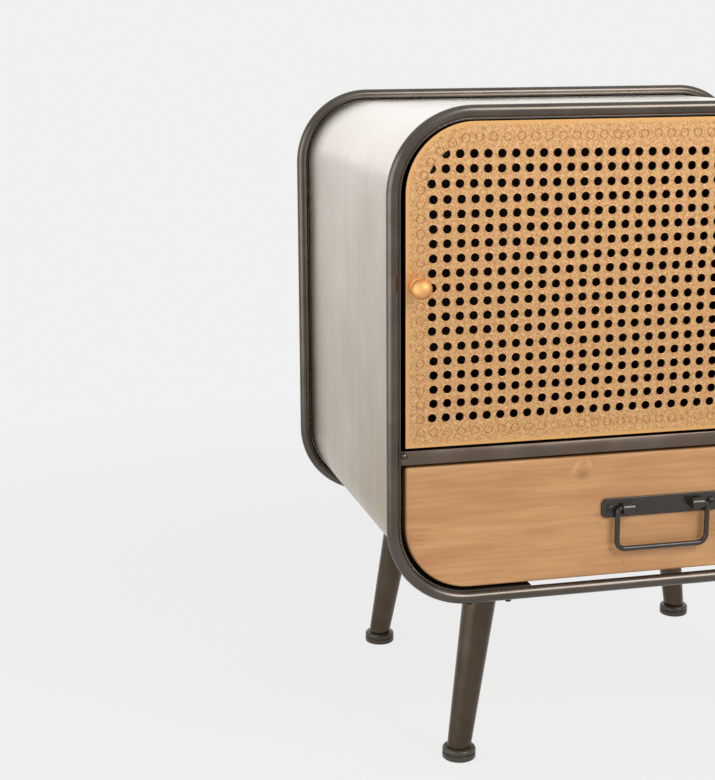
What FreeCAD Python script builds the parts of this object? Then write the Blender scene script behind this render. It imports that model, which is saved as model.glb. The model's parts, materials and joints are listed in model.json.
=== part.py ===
import FreeCAD, Part
import math
import os
import re

import Sketcher

# Nightstand: two bent bar hoops round a sheet steel case, a perforated door over a wooden drawer,
# and four splayed legs. Millimetres, +Z up, X to the right, the front faces -Y, and the origin is
# on the floor in the middle of the whole object.

# Driving dimensions
SIZES = {
    # case
    "case_width": 455,
    "case_height": 394,
    "frame_spacing": 340,
    "floor_gap": 146,
    "bar_diameter": 10,
    "frame_bend_radius": 62.5,
    "weld_gap": 0.1,
    "shell_thickness": 1,
    "shell_lip": 1,
    "shell_strip_width": 109.9,
    "front_gap": 2.3,
    "side_gap": 4.2,
    "head_gap": 1.2,
    "rail_height": 11.5,
    "rail_depth": 12,
    "shelf_thickness": 2,
    "back_thickness": 1.2,
    "back_inset": 14,
    # every cutter runs past the face it opens by this much
    "cut_overrun": 1,
    # legs
    "leg_inset_across": 92,
    "leg_inset_front": 40,
    "leg_inset_rear": 50,
    "leg_splay_across": 22.5,
    "leg_splay_deep": 11,
    "leg_top_diameter": 29,
    "leg_bottom_diameter": 20,
    "leg_plate_width": 46,
    "leg_plate_depth": 56,
    "leg_plate_thickness": 3,
    "foot_diameter": 28,
    "foot_height": 10,
    "foot_edge_radius": 2.5,
    "foot_groove_rise": 4.6,
    "foot_groove_height": 1.2,
    "foot_groove_depth": 1,
    "stud_diameter": 6,
    "stud_length": 12,
    "thread_clearance": 0.05,
    "bolt_diameter": 6,
    "bolt_length": 23.5,
    "bolt_head_radius": 5.8,
    "bolt_head_height": 4,
    "nut_height": 5,
    "bolt_spacing_across": 34,
    "bolt_spacing_deep": 32,
    # drawer box and front
    "drawer_front_height": 101.7,
    "drawer_front_thickness": 16,
    "box_wall": 12,
    "box_depth": 300,
    "box_height": 78,
    "box_rise": 12.6,
    "bottom_thickness": 5,
    "bottom_rise": 8,
    "groove_depth": 5,
    "groove_clearance": 0.15,
    "screw_diameter": 3.5,
    "screw_head_diameter": 7,
    "screw_head_height": 2.2,
    "front_screw_length": 20,
    "front_screw_spacing_across": 240,
    "front_screw_spacing_high": 32,
    "slide_screw_length": 11,
    # drawer slides
    "slide_length": 300,
    "slide_height": 35,
    "slide_width": 12.7,
    "slide_wall": 1.2,
    "slide_gap": 0.4,
    "slide_setback": 2,
    "slide_fixing_inset": 40,
    "bracket_depth": 15.7,
    "bracket_wall": 1.5,
    "bracket_rise": 1.5,
    "rivet_diameter": 4,
    "rivet_head_diameter": 7,
    "rivet_head_height": 1.5,
    # handle
    "handle_length": 103,
    "handle_height": 16,
    "handle_thickness": 2,
    "handle_corner_radius": 4.5,
    "handle_rise": 57.4,
    "handle_x": 2.5,
    "handle_screw_spacing": 88,
    "handle_screw_head_diameter": 6.6,
    "handle_screw_head_height": 2.4,
    "handle_screw_length": 14,
    "curl_diameter": 9,
    "curl_seat": 1,
    "curl_end_gap": 0.4,
    "curl_length": 10.4,
    "bail_wire": 4.4,
    "bail_width": 78,
    "bail_drop": 34,
    "bail_bend_radius": 7,
    "bail_neck_radius": 3.2,
    "pivot_clearance": 0.08,
    # door
    "door_thickness": 1.5,
    "door_rim_depth": 12,
    "door_rim_wall": 1.5,
    "door_border": 18,
    "hole_pitch": 11.2,
    "hole_diameter": 6.4,
    "knob_inset": 8.3,
    "knob_rise": 2,
    "knob_diameter": 16,
    "knob_base_diameter": 12,
    "knob_base_thickness": 2,
    "knob_neck_diameter": 7,
    "knob_neck_length": 6,
    "knob_screw_diameter": 4,
    "knob_screw_length": 12,
    "knob_screw_head_diameter": 7.5,
    "knob_screw_head_height": 2.5,
    # hinges on the right edge of the door
    "hinge_length": 45,
    "hinge_barrel_diameter": 6,
    "hinge_pin_diameter": 3,
    "hinge_leaf_thickness": 1,
    "hinge_leaf_depth": 16,
    "hinge_proud": 1.2,
    "hinge_clearance": 0.3,
    "hinge_inset": 20,
    # magnetic catch
    "catch_inset": 64,
    "catch_length": 40,
    "catch_depth": 14,
    "catch_height": 12,
    "catch_gap": 0.3,
    "magnet_length": 18,
    "magnet_depth": 6,
    "magnet_height": 8,
    "strike_length": 36,
    "strike_height": 11,
    "strike_thickness": 0.8,
    "catch_screw_spacing": 30,
    "catch_screw_diameter": 3,
    "catch_screw_head_diameter": 5.5,
    "catch_screw_head_height": 1.8,
    "catch_screw_tail": 3,
}

# Places and sizes that follow from the driving dimensions
DERIVED = {
    "bar_radius": "bar_diameter / 2",
    "half_width": "case_width / 2",
    "bar_x": "half_width - bar_radius",
    "knob_projection": "knob_base_thickness + knob_neck_length + knob_diameter",
    "front_y": "(knob_projection - frame_spacing - bar_radius) / 2",
    "rear_y": "front_y + frame_spacing",
    "case_low": "floor_gap",
    "case_top": "floor_gap + case_height",
    # faces of the sheet wrapped inside the hoops
    "shell_half": "half_width - bar_diameter - weld_gap",
    "shell_low": "case_low + bar_diameter + weld_gap",
    "shell_top": "case_top - bar_diameter - weld_gap",
    "shell_radius": "frame_bend_radius - bar_radius - weld_gap",
    "inner_half": "shell_half - shell_thickness",
    "inner_low": "shell_low + shell_thickness",
    "inner_top": "shell_top - shell_thickness",
    "inner_radius": "shell_radius - shell_thickness",
    # the strips of sheet that carry the legs leave a slot between them
    "slot_half": "shell_half - shell_strip_width",
    # door and drawer front share the width that the gap leaves
    "front_half": "inner_half - side_gap",
    "front_radius": "inner_radius - front_gap",
    "drawer_low": "inner_low + front_gap",
    "drawer_top": "drawer_low + drawer_front_height",
    "rail_low": "drawer_top + front_gap",
    "rail_top": "rail_low + rail_height",
    "shelf_low": "rail_top - shelf_thickness",
    "door_low": "rail_top + front_gap",
    "door_top": "inner_top - head_gap",
    "door_middle": "(door_low + door_top) / 2",
    "back_rear": "rear_y - back_inset",
    "back_front": "back_rear - back_thickness",
    # legs
    "leg_x": "half_width - leg_inset_across",
    "leg_top": "shell_low - leg_plate_thickness",
    # drawer box
    "drawer_back_face": "front_y + drawer_front_thickness",
    "box_half": "inner_half - bracket_depth - slide_width",
    "box_inner": "box_half - box_wall",
    "box_low": "drawer_low + box_rise",
    "box_top": "box_low + box_height",
    "box_front_rear": "drawer_back_face + box_wall",
    "box_rear": "drawer_back_face + box_depth",
    "bottom_low": "box_low + bottom_rise",
    "bottom_top": "bottom_low + bottom_thickness",
    # slides
    "bracket_low": "case_low + bar_radius + frame_bend_radius + bracket_rise",
    "bracket_high": "bracket_low + slide_height + 2 * bracket_wall",
    "bracket_face": "box_half + slide_width",
    "slide_low": "bracket_low + bracket_wall",
    "slide_middle_height": "slide_low + slide_height / 2",
    "slide_step": "slide_wall + slide_gap",
    "slide_start": "drawer_back_face + slide_setback",
    "slide_end": "slide_start + slide_length",
    # handle
    "handle_z": "drawer_low + handle_rise",
    "handle_face": "front_y - handle_thickness",
    "pivot_y": "handle_face - curl_diameter / 2 + curl_seat",
    "curl_outer": "bail_width / 2 - bail_neck_radius - curl_end_gap",
    "curl_inner": "curl_outer - curl_length",
    "curl_bore": "bail_wire + 2 * pivot_clearance",
    # door
    "door_back": "front_y + door_thickness",
    "flange_back": "door_back + door_rim_wall",
    "rim_back": "door_back + door_rim_depth",
    "knob_x": "-(front_half - knob_inset)",
    "knob_z": "door_middle + knob_rise",
    # hinges
    "barrel_radius": "hinge_barrel_diameter / 2",
    "hinge_x": "inner_half - side_gap / 2",
    "hinge_y": "front_y - hinge_proud - barrel_radius",
    "leaf_start": "hinge_y + barrel_radius + hinge_clearance",
    "leaf_end": "hinge_y + hinge_leaf_depth",
    "lower_hinge_z": "door_low + hinge_inset",
    "upper_hinge_z": "door_top - front_radius - hinge_inset / 2 - hinge_length",
    # catch
    "catch_x": "-(front_half - catch_inset)",
    "strike_back": "rim_back + strike_thickness",
    "catch_front": "strike_back + catch_gap",
    "catch_top": "rail_top + catch_height",
    "catch_middle": "catch_front + catch_depth / 2",
}

doc = FreeCAD.newDocument("nightstand")
sheet = doc.addObject("Spreadsheet::Sheet", "sizes")
for row, (alias, length) in enumerate(SIZES.items(), start=1):
    sheet.set(f"A{row}", alias)
    sheet.set(f"B{row}", str(length))
    sheet.setAlias(f"B{row}", alias)
doc.recompute()

parts = []


def formula(rule):
    """Spell a rule out in the names of the sheet's cells."""
    def spell(match):
        name = match.group(0)
        if name in DERIVED:
            return f"({formula(DERIVED[name])})"
        return f"sizes.{name}"
    return re.sub(r"[a-z_]+", spell, rule)


def size(rule):
    """The length that a rule gives at present."""
    return float(sheet.evalExpression(formula(rule)))


def place(item, x, y, z):
    for axis, rule in zip("xyz", (x, y, z)):
        item.setExpression(f"Placement.Base.{axis}", formula(rule))
    return item


def piece(item):
    """Enter a finished sub-part, whose label names its file."""
    parts.append(item)
    return item


# Solid blocks, rods and what is made of them


def block(name, x, y, z):
    """A block that lies between a low and a high rule on each axis."""
    solid = doc.addObject("Part::Box", name)
    for side, (low, high) in zip(("Length", "Width", "Height"), (x, y, z)):
        solid.setExpression(side, formula(f"({high}) - ({low})"))
    return place(solid, x[0], y[0], z[0])


ROD_TURNS = {
    "+x": FreeCAD.Rotation(FreeCAD.Vector(0, 1, 0), 90),
    "-x": FreeCAD.Rotation(FreeCAD.Vector(0, 1, 0), -90),
    "+y": FreeCAD.Rotation(FreeCAD.Vector(1, 0, 0), -90),
    "-y": FreeCAD.Rotation(FreeCAD.Vector(1, 0, 0), 90),
    "+z": FreeCAD.Rotation(),
    "-z": FreeCAD.Rotation(FreeCAD.Vector(1, 0, 0), 180),
}


def rod(name, direction, diameter, length, start):
    """A round rod that runs from its start point along one direction."""
    solid = doc.addObject("Part::Cylinder", name)
    solid.Placement = FreeCAD.Placement(FreeCAD.Vector(), ROD_TURNS[direction])
    solid.setExpression("Radius", formula(f"({diameter}) / 2"))
    solid.setExpression("Height", formula(length))
    return place(solid, *start)


def group(name, solids):
    """Separate solids that share one node or one cutting step."""
    bundle = doc.addObject("Part::Compound", name)
    bundle.Links = solids
    return bundle


def fuse(name, *solids):
    union = doc.addObject("Part::MultiFuse", name)
    union.Shapes = list(solids)
    return union


def cut(name, base, *tools):
    rest = doc.addObject("Part::Cut", name)
    rest.Base = base
    rest.Tool = tools[0] if len(tools) == 1 else group(f"{name}_cutters", list(tools))
    return rest


def headed_pin(name, direction, start, shank, head):
    """A fastener whose head lies against the start point and whose shank runs on from there."""
    back = {"+": "-", "-": "+"}[direction[0]] + direction[1]
    return fuse(name, rod(f"{name}_shank", direction, *shank, start),
                rod(f"{name}_head", back, *head, start))


# Sketched outlines


def sketch_on(body, role, offset="0"):
    """A sketch on one of the body's own planes, moved along the plane's normal."""
    sketch = body.newObject("Sketcher::SketchObject", f"{body.Name}_sketch")
    plane = [feature for feature in body.Origin.OriginFeatures if feature.Role == role][0]
    sketch.AttachmentSupport = [(plane, "")]
    sketch.MapMode = "FlatFace"
    sketch.setExpression("AttachmentOffset.Base.z", formula(offset))
    return sketch


def measure(sketch, kind, targets, rule):
    """Add a driving dimension bound to a rule."""
    index = sketch.addConstraint(Sketcher.Constraint(kind, *targets, size(rule)))
    sketch.setExpression(f"Constraints[{index}]", formula(rule))


def circle(sketch, x, y, diameter):
    centre = FreeCAD.Vector(size(x), size(y), 0)
    ring = sketch.addGeometry(Part.Circle(centre, FreeCAD.Vector(0, 0, 1), size(diameter) / 2), False)
    measure(sketch, "DistanceX", (ring, 3), x)
    measure(sketch, "DistanceY", (ring, 3), y)
    measure(sketch, "Diameter", (ring,), diameter)


def corner_arc(corner, before, after, radius):
    """The arc that rounds a corner, and whether it runs the same way as the outline."""
    centre = corner - before * radius + after * radius
    turns_left = before.cross(after).z > 0
    first, last = (-after, before) if turns_left else (before, -after)
    start = math.atan2(first.y, first.x)
    sweep = math.atan2(first.cross(last).z, first.dot(last))
    ring = Part.Circle(centre, FreeCAD.Vector(0, 0, 1), radius)
    return Part.ArcOfCircle(ring, start, start + sweep), turns_left


def outline(sketch, corners, closed=True):
    """Level and upright lines through corners (x, y, radius), rounded where a radius is given."""
    count = len(corners)
    runs = count if closed else count - 1
    spots = [FreeCAD.Vector(size(x), size(y), 0) for x, y, _ in corners]
    radii = [size(radius) if radius else 0 for _, _, radius in corners]
    ways = [(spots[(i + 1) % count] - spots[i]).normalize() for i in range(runs)]
    first = sketch.GeometryCount
    for i in range(runs):
        start = spots[i] + ways[i] * radii[i]
        end = spots[(i + 1) % count] - ways[i] * radii[(i + 1) % count]
        line = sketch.addGeometry(Part.LineSegment(start, end), False)
        upright = abs(ways[i].x) < abs(ways[i].y)
        sketch.addConstraint(Sketcher.Constraint("Vertical" if upright else "Horizontal", line))
        measure(sketch, "DistanceX" if upright else "DistanceY", (line, 1), corners[i][0 if upright else 1])
    for i in range(count) if closed else range(1, count - 1):
        before, after = first + (i - 1) % count, first + i
        if not corners[i][2]:
            sketch.addConstraint(Sketcher.Constraint("Coincident", before, 2, after, 1))
            continue
        curve, along = corner_arc(spots[i], ways[i - 1], ways[i], radii[i])
        arc = sketch.addGeometry(curve, False)
        sketch.addConstraint(Sketcher.Constraint("Tangent", before, 2, arc, 1 if along else 2))
        sketch.addConstraint(Sketcher.Constraint("Tangent", arc, 2 if along else 1, after, 1))
        measure(sketch, "Radius", (arc,), corners[i][2])
    if not closed:
        for line, end, (x, y, _), way in ((first, 1, corners[0], ways[0]),
                                          (first + runs - 1, 2, corners[-1], ways[-1])):
            upright = abs(way.x) < abs(way.y)
            measure(sketch, "DistanceY" if upright else "DistanceX", (line, end), y if upright else x)


def rectangle(half, low, top, low_radius=None, top_radius=None):
    """The corners of an upright rectangle, the same on both sides of the middle."""
    return [(f"-({half})", low, low_radius), (half, low, low_radius),
            (half, top, top_radius), (f"-({half})", top, top_radius)]


def pad(body, sketch, length, backward=True):
    """Thicken a sketch. From an upright sketch across the front, backward is towards +Y."""
    feature = body.newObject("PartDesign::Pad", f"{body.Name}_pad")
    feature.Profile = sketch
    feature.setExpression("Length", formula(length))
    feature.Reversed = backward
    return feature


def front_sketch(body, y):
    """An upright sketch across the front, at a given depth."""
    return sketch_on(body, "XZ_Plane", f"-({y})")


def bent_bar(name, path_corners, y, section, closed):
    """A round bar bent along straight runs and arcs that lie in one upright plane."""
    body = doc.addObject("PartDesign::Body", name)
    path = front_sketch(body, y)
    outline(path, path_corners, closed)
    start_x, start_z, _ = path_corners[0]
    profile = sketch_on(body, "YZ_Plane", "0" if closed else start_x)
    circle(profile, y, start_z, section)
    pipe = body.newObject("PartDesign::AdditivePipe", f"{name}_pipe")
    pipe.Profile = profile
    pipe.Spine = path
    return piece(body)


# Case: hoops, shell, rails, shelf and back


def build_case():
    hoop = rectangle("bar_x", "case_low + bar_radius", "case_top - bar_radius",
                     "frame_bend_radius", "frame_bend_radius")
    bent_bar("front_frame", hoop, "front_y", "bar_diameter", True)
    bent_bar("rear_frame", hoop, "rear_y", "bar_diameter", True)

    wrap = doc.addObject("PartDesign::Body", "shell_wrap")
    sheet_line = front_sketch(wrap, "front_y - shell_lip")
    outline(sheet_line, [
        ("slot_half", "shell_low", None),
        ("shell_half", "shell_low", "shell_radius"), ("shell_half", "shell_top", "shell_radius"),
        ("-shell_half", "shell_top", "shell_radius"), ("-shell_half", "shell_low", "shell_radius"),
        ("-slot_half", "shell_low", None), ("-slot_half", "inner_low", None),
        ("-inner_half", "inner_low", "inner_radius"), ("-inner_half", "inner_top", "inner_radius"),
        ("inner_half", "inner_top", "inner_radius"), ("inner_half", "inner_low", "inner_radius"),
        ("slot_half", "inner_low", None)])
    pad(wrap, sheet_line, "frame_spacing + 2 * shell_lip")
    piece(cut("case_shell", wrap, *leg_bolt_rods("shell_hole", "bolt_diameter + 2 * thread_clearance",
                                                 "inner_low + cut_overrun",
                                                 "shell_thickness + 2 * cut_overrun")))

    full_width = ("-inner_half", "inner_half")
    piece(block("mid_rail", full_width, ("front_y", "front_y + rail_depth"), ("rail_low", "rail_top")))
    piece(block("rear_rail", full_width, ("back_front - rail_depth", "back_front"),
                ("shelf_low - rail_height", "shelf_low")))
    shelf = block("shelf_sheet", full_width, ("front_y + rail_depth", "back_front"),
                  ("shelf_low", "rail_top"))
    holes = [rod("shelf_hole", "-z", "catch_screw_diameter + 2 * thread_clearance",
                 "shelf_thickness + 2 * cut_overrun", (x, "catch_middle", "rail_top + cut_overrun"))
             for x in catch_screw_places()]
    piece(cut("shelf_panel", shelf, *holes))

    back = doc.addObject("PartDesign::Body", "back_panel")
    edge = front_sketch(back, "back_front")
    radius = "inner_radius - weld_gap"
    outline(edge, rectangle("inner_half - weld_gap", "inner_low + weld_gap", "inner_top - weld_gap",
                            radius, radius))
    pad(back, edge, "back_thickness")
    piece(back)


# Legs with their plates, bolts and feet


LEG_CORNERS = [("front_left", "-", "+"), ("front_right", "+", "+"),
               ("rear_left", "-", "-"), ("rear_right", "+", "-")]


def leg_place(side, inward):
    """Where a leg meets its plate: sign across, and sign that points into the case."""
    depth = "front_y + leg_inset_front" if inward == "+" else "rear_y - leg_inset_rear"
    return f"{side}leg_x", depth


def bolt_places():
    spots = []
    for _, side, inward in LEG_CORNERS:
        x, y = leg_place(side, inward)
        for step_x in "+-":
            for step_y in "+-":
                spots.append((f"{x} {step_x} bolt_spacing_across / 2",
                              f"{y} {step_y} bolt_spacing_deep / 2"))
    return spots


def leg_bolt_rods(name, diameter, top, length):
    """One upright rod at each leg bolt, hanging down from a given height."""
    return [rod(name, "-z", diameter, length, (x, y, top)) for x, y in bolt_places()]


def hexagon(name, height, place_at):
    prism = doc.addObject("Part::Prism", name)
    prism.Polygon = 6
    prism.setExpression("Circumradius", formula("bolt_head_radius"))
    prism.setExpression("Height", formula(height))
    return place(prism, *place_at)


def build_leg(corner, side, inward):
    x, y = leg_place(side, inward)
    outward = {"+": "-", "-": "+"}[inward]
    foot_x, foot_y = f"{x} {side} leg_splay_across", f"{y} {outward} leg_splay_deep"

    rings = []
    for diameter, spot in (("leg_bottom_diameter", (foot_x, foot_y, "foot_height")),
                           ("leg_top_diameter", (x, y, "leg_top"))):
        ring = doc.addObject("Part::Circle", "leg_ring")
        ring.setExpression("Radius", formula(f"{diameter} / 2"))
        rings.append(place(ring, *spot))
    taper = doc.addObject("Part::Loft", "leg_taper")
    taper.Sections = rings
    taper.Solid = True
    socket = rod("leg_socket", "+z", "stud_diameter + 2 * thread_clearance", "stud_length + 2 * cut_overrun",
                 (foot_x, foot_y, "foot_height - cut_overrun"))
    piece(cut(f"leg_{corner}", taper, socket))

    plate = block("leg_plate_blank", (f"{x} - leg_plate_width / 2", f"{x} + leg_plate_width / 2"),
                  (f"{y} - leg_plate_depth / 2", f"{y} + leg_plate_depth / 2"), ("leg_top", "shell_low"))
    holes = [rod("plate_hole", "-z", "bolt_diameter + 2 * thread_clearance",
                 "leg_plate_thickness + 2 * cut_overrun",
                 (f"{x} {step_x} bolt_spacing_across / 2", f"{y} {step_y} bolt_spacing_deep / 2",
                  "shell_low + cut_overrun"))
             for step_x in "+-" for step_y in "+-"]
    piece(cut(f"leg_plate_{corner}", plate, *holes))

    foot = doc.addObject("PartDesign::Body", f"foot_{corner}")
    half = sketch_on(foot, "XZ_Plane")
    rim, neck = "foot_diameter / 2", "foot_diameter / 2 - foot_groove_depth"
    groove_top = "foot_groove_rise + foot_groove_height"
    outline(half, [("0", "0", None), (rim, "0", None), (rim, "foot_groove_rise", None),
                   (neck, "foot_groove_rise", None), (neck, groove_top, None), (rim, groove_top, None),
                   (rim, "foot_height", "foot_edge_radius"), ("stud_diameter / 2", "foot_height", None),
                   ("stud_diameter / 2", "foot_height + stud_length", None),
                   ("0", "foot_height + stud_length", None)])
    turning = foot.newObject("PartDesign::Revolution", f"foot_{corner}_turning")
    turning.Profile = half
    turning.ReferenceAxis = (half, ["V_Axis"])
    turning.Angle = 360
    piece(place(foot, foot_x, foot_y, "0"))


def build_legs():
    for corner, side, inward in LEG_CORNERS:
        build_leg(corner, side, inward)
    bolts, nuts = [], []
    for x, y in bolt_places():
        shank = rod("bolt_shank", "-z", "bolt_diameter", "bolt_length", (x, y, "inner_low"))
        bolts.append(fuse("leg_bolt", shank, hexagon("bolt_head", "bolt_head_height", (x, y, "inner_low"))))
        nut_low = "leg_top - nut_height"
        bore = rod("nut_bore", "+z", "bolt_diameter + 2 * thread_clearance", "nut_height + 2 * cut_overrun",
                   (x, y, f"{nut_low} - cut_overrun"))
        nuts.append(cut("leg_nut", hexagon("nut_blank", "nut_height", (x, y, nut_low)), bore))
    piece(group("leg_bolts", bolts))
    piece(group("leg_nuts", nuts))


# Drawer slides: a fixed, a middle and a drawer member on each side


def across(side, near, far):
    """A low and a high rule across the case, from distances to the middle plane."""
    if side == "right":
        return near, far
    return f"-({far})", f"-({near})"


def channel(name, side, near, far, z, y, wall, web):
    """A channel along the drawer's travel, with its web on the near or the far side."""
    blank = block(f"{name}_blank", across(side, near, far), y, z)
    if web == "far":
        hollow_x = across(side, f"{near} - cut_overrun", f"{far} - {wall}")
    else:
        hollow_x = across(side, f"{near} + {wall}", f"{far} + cut_overrun")
    hollow = block(f"{name}_hollow", hollow_x, (f"{y[0]} - cut_overrun", f"{y[1]} + cut_overrun"),
                   (f"{z[0]} + {wall}", f"{z[1]} - {wall}"))
    return cut(name, blank, hollow)


def side_rods(name, side, outwards, diameter, length, start):
    """Rods across the case at both fixing points of a slide."""
    direction = ("+x" if outwards else "-x") if side == "right" else ("-x" if outwards else "+x")
    x = start if side == "right" else f"-({start})"
    return [rod(name, direction, diameter, length, (x, y, "slide_middle_height"))
            for y in ("slide_start + slide_fixing_inset", "slide_end - slide_fixing_inset")]


def build_slides():
    travel = ("slide_start", "slide_end")
    rivets = []
    rivet_hole = "rivet_diameter + 2 * thread_clearance"
    for side in ("left", "right"):
        bracket = channel(f"bracket_{side}", side, "bracket_face", "inner_half",
                          ("bracket_low", "bracket_high"), travel, "bracket_wall", "near")
        piece(cut(f"runner_bracket_{side}", bracket,
                  *side_rods("bracket_hole", side, True, rivet_hole, "bracket_wall + 2 * cut_overrun",
                             "bracket_face - cut_overrun")))
        fixed = channel(f"fixed_member_{side}", side, "box_half + slide_step", "bracket_face",
                        ("slide_low", "slide_low + slide_height"), travel, "slide_wall", "far")
        piece(cut(f"slide_outer_{side}", fixed,
                  *side_rods("slide_hole", side, True, rivet_hole, "slide_wall + 2 * cut_overrun",
                             "bracket_face - slide_wall - cut_overrun")))
        piece(channel(f"slide_middle_{side}", side, "box_half + slide_step", "bracket_face - slide_step",
                      ("slide_low + slide_step", "slide_low + slide_height - slide_step"), travel,
                      "slide_wall", "far"))
        moving = channel(f"drawer_member_{side}", side, "box_half", "bracket_face - 2 * slide_step",
                         ("slide_low + 2 * slide_step", "slide_low + slide_height - 2 * slide_step"), travel,
                         "slide_wall", "near")
        piece(cut(f"slide_inner_{side}", moving,
                  *side_rods("member_hole", side, True, "screw_diameter + 2 * thread_clearance",
                             "slide_wall + 2 * cut_overrun", "box_half - cut_overrun")))
        shanks = side_rods("rivet_shank", side, True, "rivet_diameter", "slide_wall + bracket_wall",
                           "bracket_face - slide_wall")
        heads = side_rods("rivet_head", side, True, "rivet_head_diameter", "rivet_head_height",
                          "bracket_face + bracket_wall")
        rivets += [fuse("slide_rivet", shank, head) for shank, head in zip(shanks, heads)]
    piece(group("slide_rivets", rivets))


# Drawer: front board, box and screws


def front_screw_places():
    middle = "(bottom_top + box_top) / 2"
    return [(f"{step_x} front_screw_spacing_across / 2", f"{middle} {step_z} front_screw_spacing_high / 2")
            for step_x in "+-" for step_z in "+-"]


def handle_screw_places():
    return ["handle_x - handle_screw_spacing / 2", "handle_x + handle_screw_spacing / 2"]


def build_drawer():
    screw_hole = "screw_diameter + 2 * thread_clearance"
    board = doc.addObject("PartDesign::Body", "front_board")
    edge = front_sketch(board, "front_y")
    outline(edge, rectangle("front_half", "drawer_low", "drawer_top", "front_radius"))
    pad(board, edge, "drawer_front_thickness")
    blind = "front_screw_length - box_wall + cut_overrun"
    board_holes = [rod("board_hole", "-y", screw_hole, blind, (x, "drawer_back_face", z))
                   for x, z in front_screw_places()]
    board_holes += [rod("handle_hole", "+y", screw_hole, "handle_screw_length", (x, "front_y", "handle_z"))
                    for x in handle_screw_places()]
    piece(cut("drawer_front", board, *board_holes))

    groove_z = ("bottom_low", "bottom_top + groove_clearance")
    for side in ("left", "right"):
        plank = block(f"side_plank_{side}", across(side, "box_inner", "box_half"),
                      ("drawer_back_face", "box_rear"), ("box_low", "box_top"))
        groove = block(f"side_groove_{side}",
                       across(side, "box_inner - cut_overrun", "box_inner + groove_depth"),
                       ("box_front_rear - groove_depth", "box_rear + cut_overrun"), groove_z)
        pilots = side_rods("side_pilot", side, False, screw_hole,
                           "slide_screw_length - slide_wall + cut_overrun", "box_half + cut_overrun")
        piece(cut(f"drawer_side_{side}", plank, groove, *pilots))

    between = ("-box_inner", "box_inner")
    inner_front = block("inner_front_plank", between, ("drawer_back_face", "box_front_rear"),
                        ("box_low", "box_top"))
    front_groove = block("front_groove", ("-box_inner - cut_overrun", "box_inner + cut_overrun"),
                         ("box_front_rear - groove_depth", "box_front_rear + cut_overrun"), groove_z)
    through = [rod("box_front_hole", "-y", screw_hole, "box_wall + 2 * cut_overrun",
                   (x, "box_front_rear + cut_overrun", z)) for x, z in front_screw_places()]
    piece(cut("box_front", inner_front, front_groove, *through))
    piece(block("drawer_back", between, ("box_rear - box_wall", "box_rear"), ("bottom_top", "box_top")))
    reach = "groove_depth - groove_clearance"
    piece(block("drawer_bottom", (f"-(box_inner + {reach})", f"box_inner + {reach}"),
                (f"box_front_rear - ({reach})", "box_rear"), ("bottom_low", "bottom_top")))

    shank = ("screw_diameter", "front_screw_length")
    head = ("screw_head_diameter", "screw_head_height")
    front_screws = [headed_pin("front_screw", "-y", (x, "box_front_rear", z), shank, head)
                    for x, z in front_screw_places()]
    piece(group("front_screws", front_screws))
    slide_screws = []
    for side in ("left", "right"):
        shanks = side_rods("slide_screw_shank", side, False, "screw_diameter", "slide_screw_length",
                           "box_half + slide_wall")
        heads = side_rods("slide_screw_head", side, True, *head, "box_half + slide_wall")
        slide_screws += [fuse("slide_screw", *pair) for pair in zip(shanks, heads)]
    piece(group("slide_screws", slide_screws))


# Handle: plate with two rolled eyes, and the bail that hangs in them


def build_handle():
    plate = doc.addObject("PartDesign::Body", "handle_strip")
    edge = front_sketch(plate, "handle_face")
    radius = "handle_corner_radius"
    outline(edge, [(f"handle_x {across} handle_length / 2", f"handle_z {upward} handle_height / 2", radius)
                   for across, upward in ("--", "+-", "++", "-+")])
    pad(plate, edge, "handle_thickness")
    eyes, bores = [], []
    for direction, sign in (("+x", "+"), ("-x", "-")):
        eyes.append(rod("handle_eye", direction, "curl_diameter", "curl_length",
                        (f"handle_x {sign} curl_inner", "pivot_y", "handle_z")))
        bores.append(rod("eye_bore", direction, "curl_bore", "curl_length + 2 * cut_overrun",
                         (f"handle_x {sign} (curl_inner - cut_overrun)", "pivot_y", "handle_z")))
    holes = [rod("plate_screw_hole", "+y", "screw_diameter + 2 * thread_clearance",
                 "handle_thickness + 2 * cut_overrun", (x, "handle_face - cut_overrun", "handle_z"))
             for x in handle_screw_places()]
    piece(cut("handle_plate", fuse("handle_forging", plate, *eyes), *bores, *holes))
    shank = ("screw_diameter", "handle_screw_length")
    head = ("handle_screw_head_diameter", "handle_screw_head_height")
    screws = [headed_pin("handle_screw", "+y", (x, "handle_face", "handle_z"), shank, head)
              for x in handle_screw_places()]
    piece(group("handle_screws", screws))

    left, right = "handle_x - bail_width / 2", "handle_x + bail_width / 2"
    foot = "handle_z - bail_drop"
    path = [("handle_x - curl_inner", "handle_z", None), (left, "handle_z", "bail_neck_radius"),
            (left, foot, "bail_bend_radius"), (right, foot, "bail_bend_radius"),
            (right, "handle_z", "bail_neck_radius"), ("handle_x + curl_inner", "handle_z", None)]
    bent_bar("handle_bail", path, "pivot_y", "bail_wire", False)


# Door: perforated panel, folded rim and knob


def door_outline(inset):
    """The corners of the door's edge, drawn in by an inset."""
    return rectangle(f"front_half - {inset}", f"door_low + {inset}", f"door_top - {inset}",
                     None, f"front_radius - {inset}")


def flat_wire(inset, y):
    """The door's edge as a wire at one depth: straight below, rounded at the top corners."""
    half = size("front_half") - inset
    low, top = size("door_low") + inset, size("door_top") - inset
    radius = size("front_radius") - inset
    lean = radius * (1 - math.sqrt(0.5))

    def spot(x, z):
        return FreeCAD.Vector(x, y, z)
    edges = [Part.LineSegment(spot(-half, low), spot(half, low)),
             Part.LineSegment(spot(half, low), spot(half, top - radius)),
             Part.Arc(spot(half, top - radius), spot(half - lean, top - lean), spot(half - radius, top)),
             Part.LineSegment(spot(half - radius, top), spot(radius - half, top)),
             Part.Arc(spot(radius - half, top), spot(lean - half, top - lean), spot(-half, top - radius)),
             Part.LineSegment(spot(-half, top - radius), spot(-half, low))]
    return Part.Wire([edge.toShape() for edge in edges])


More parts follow.
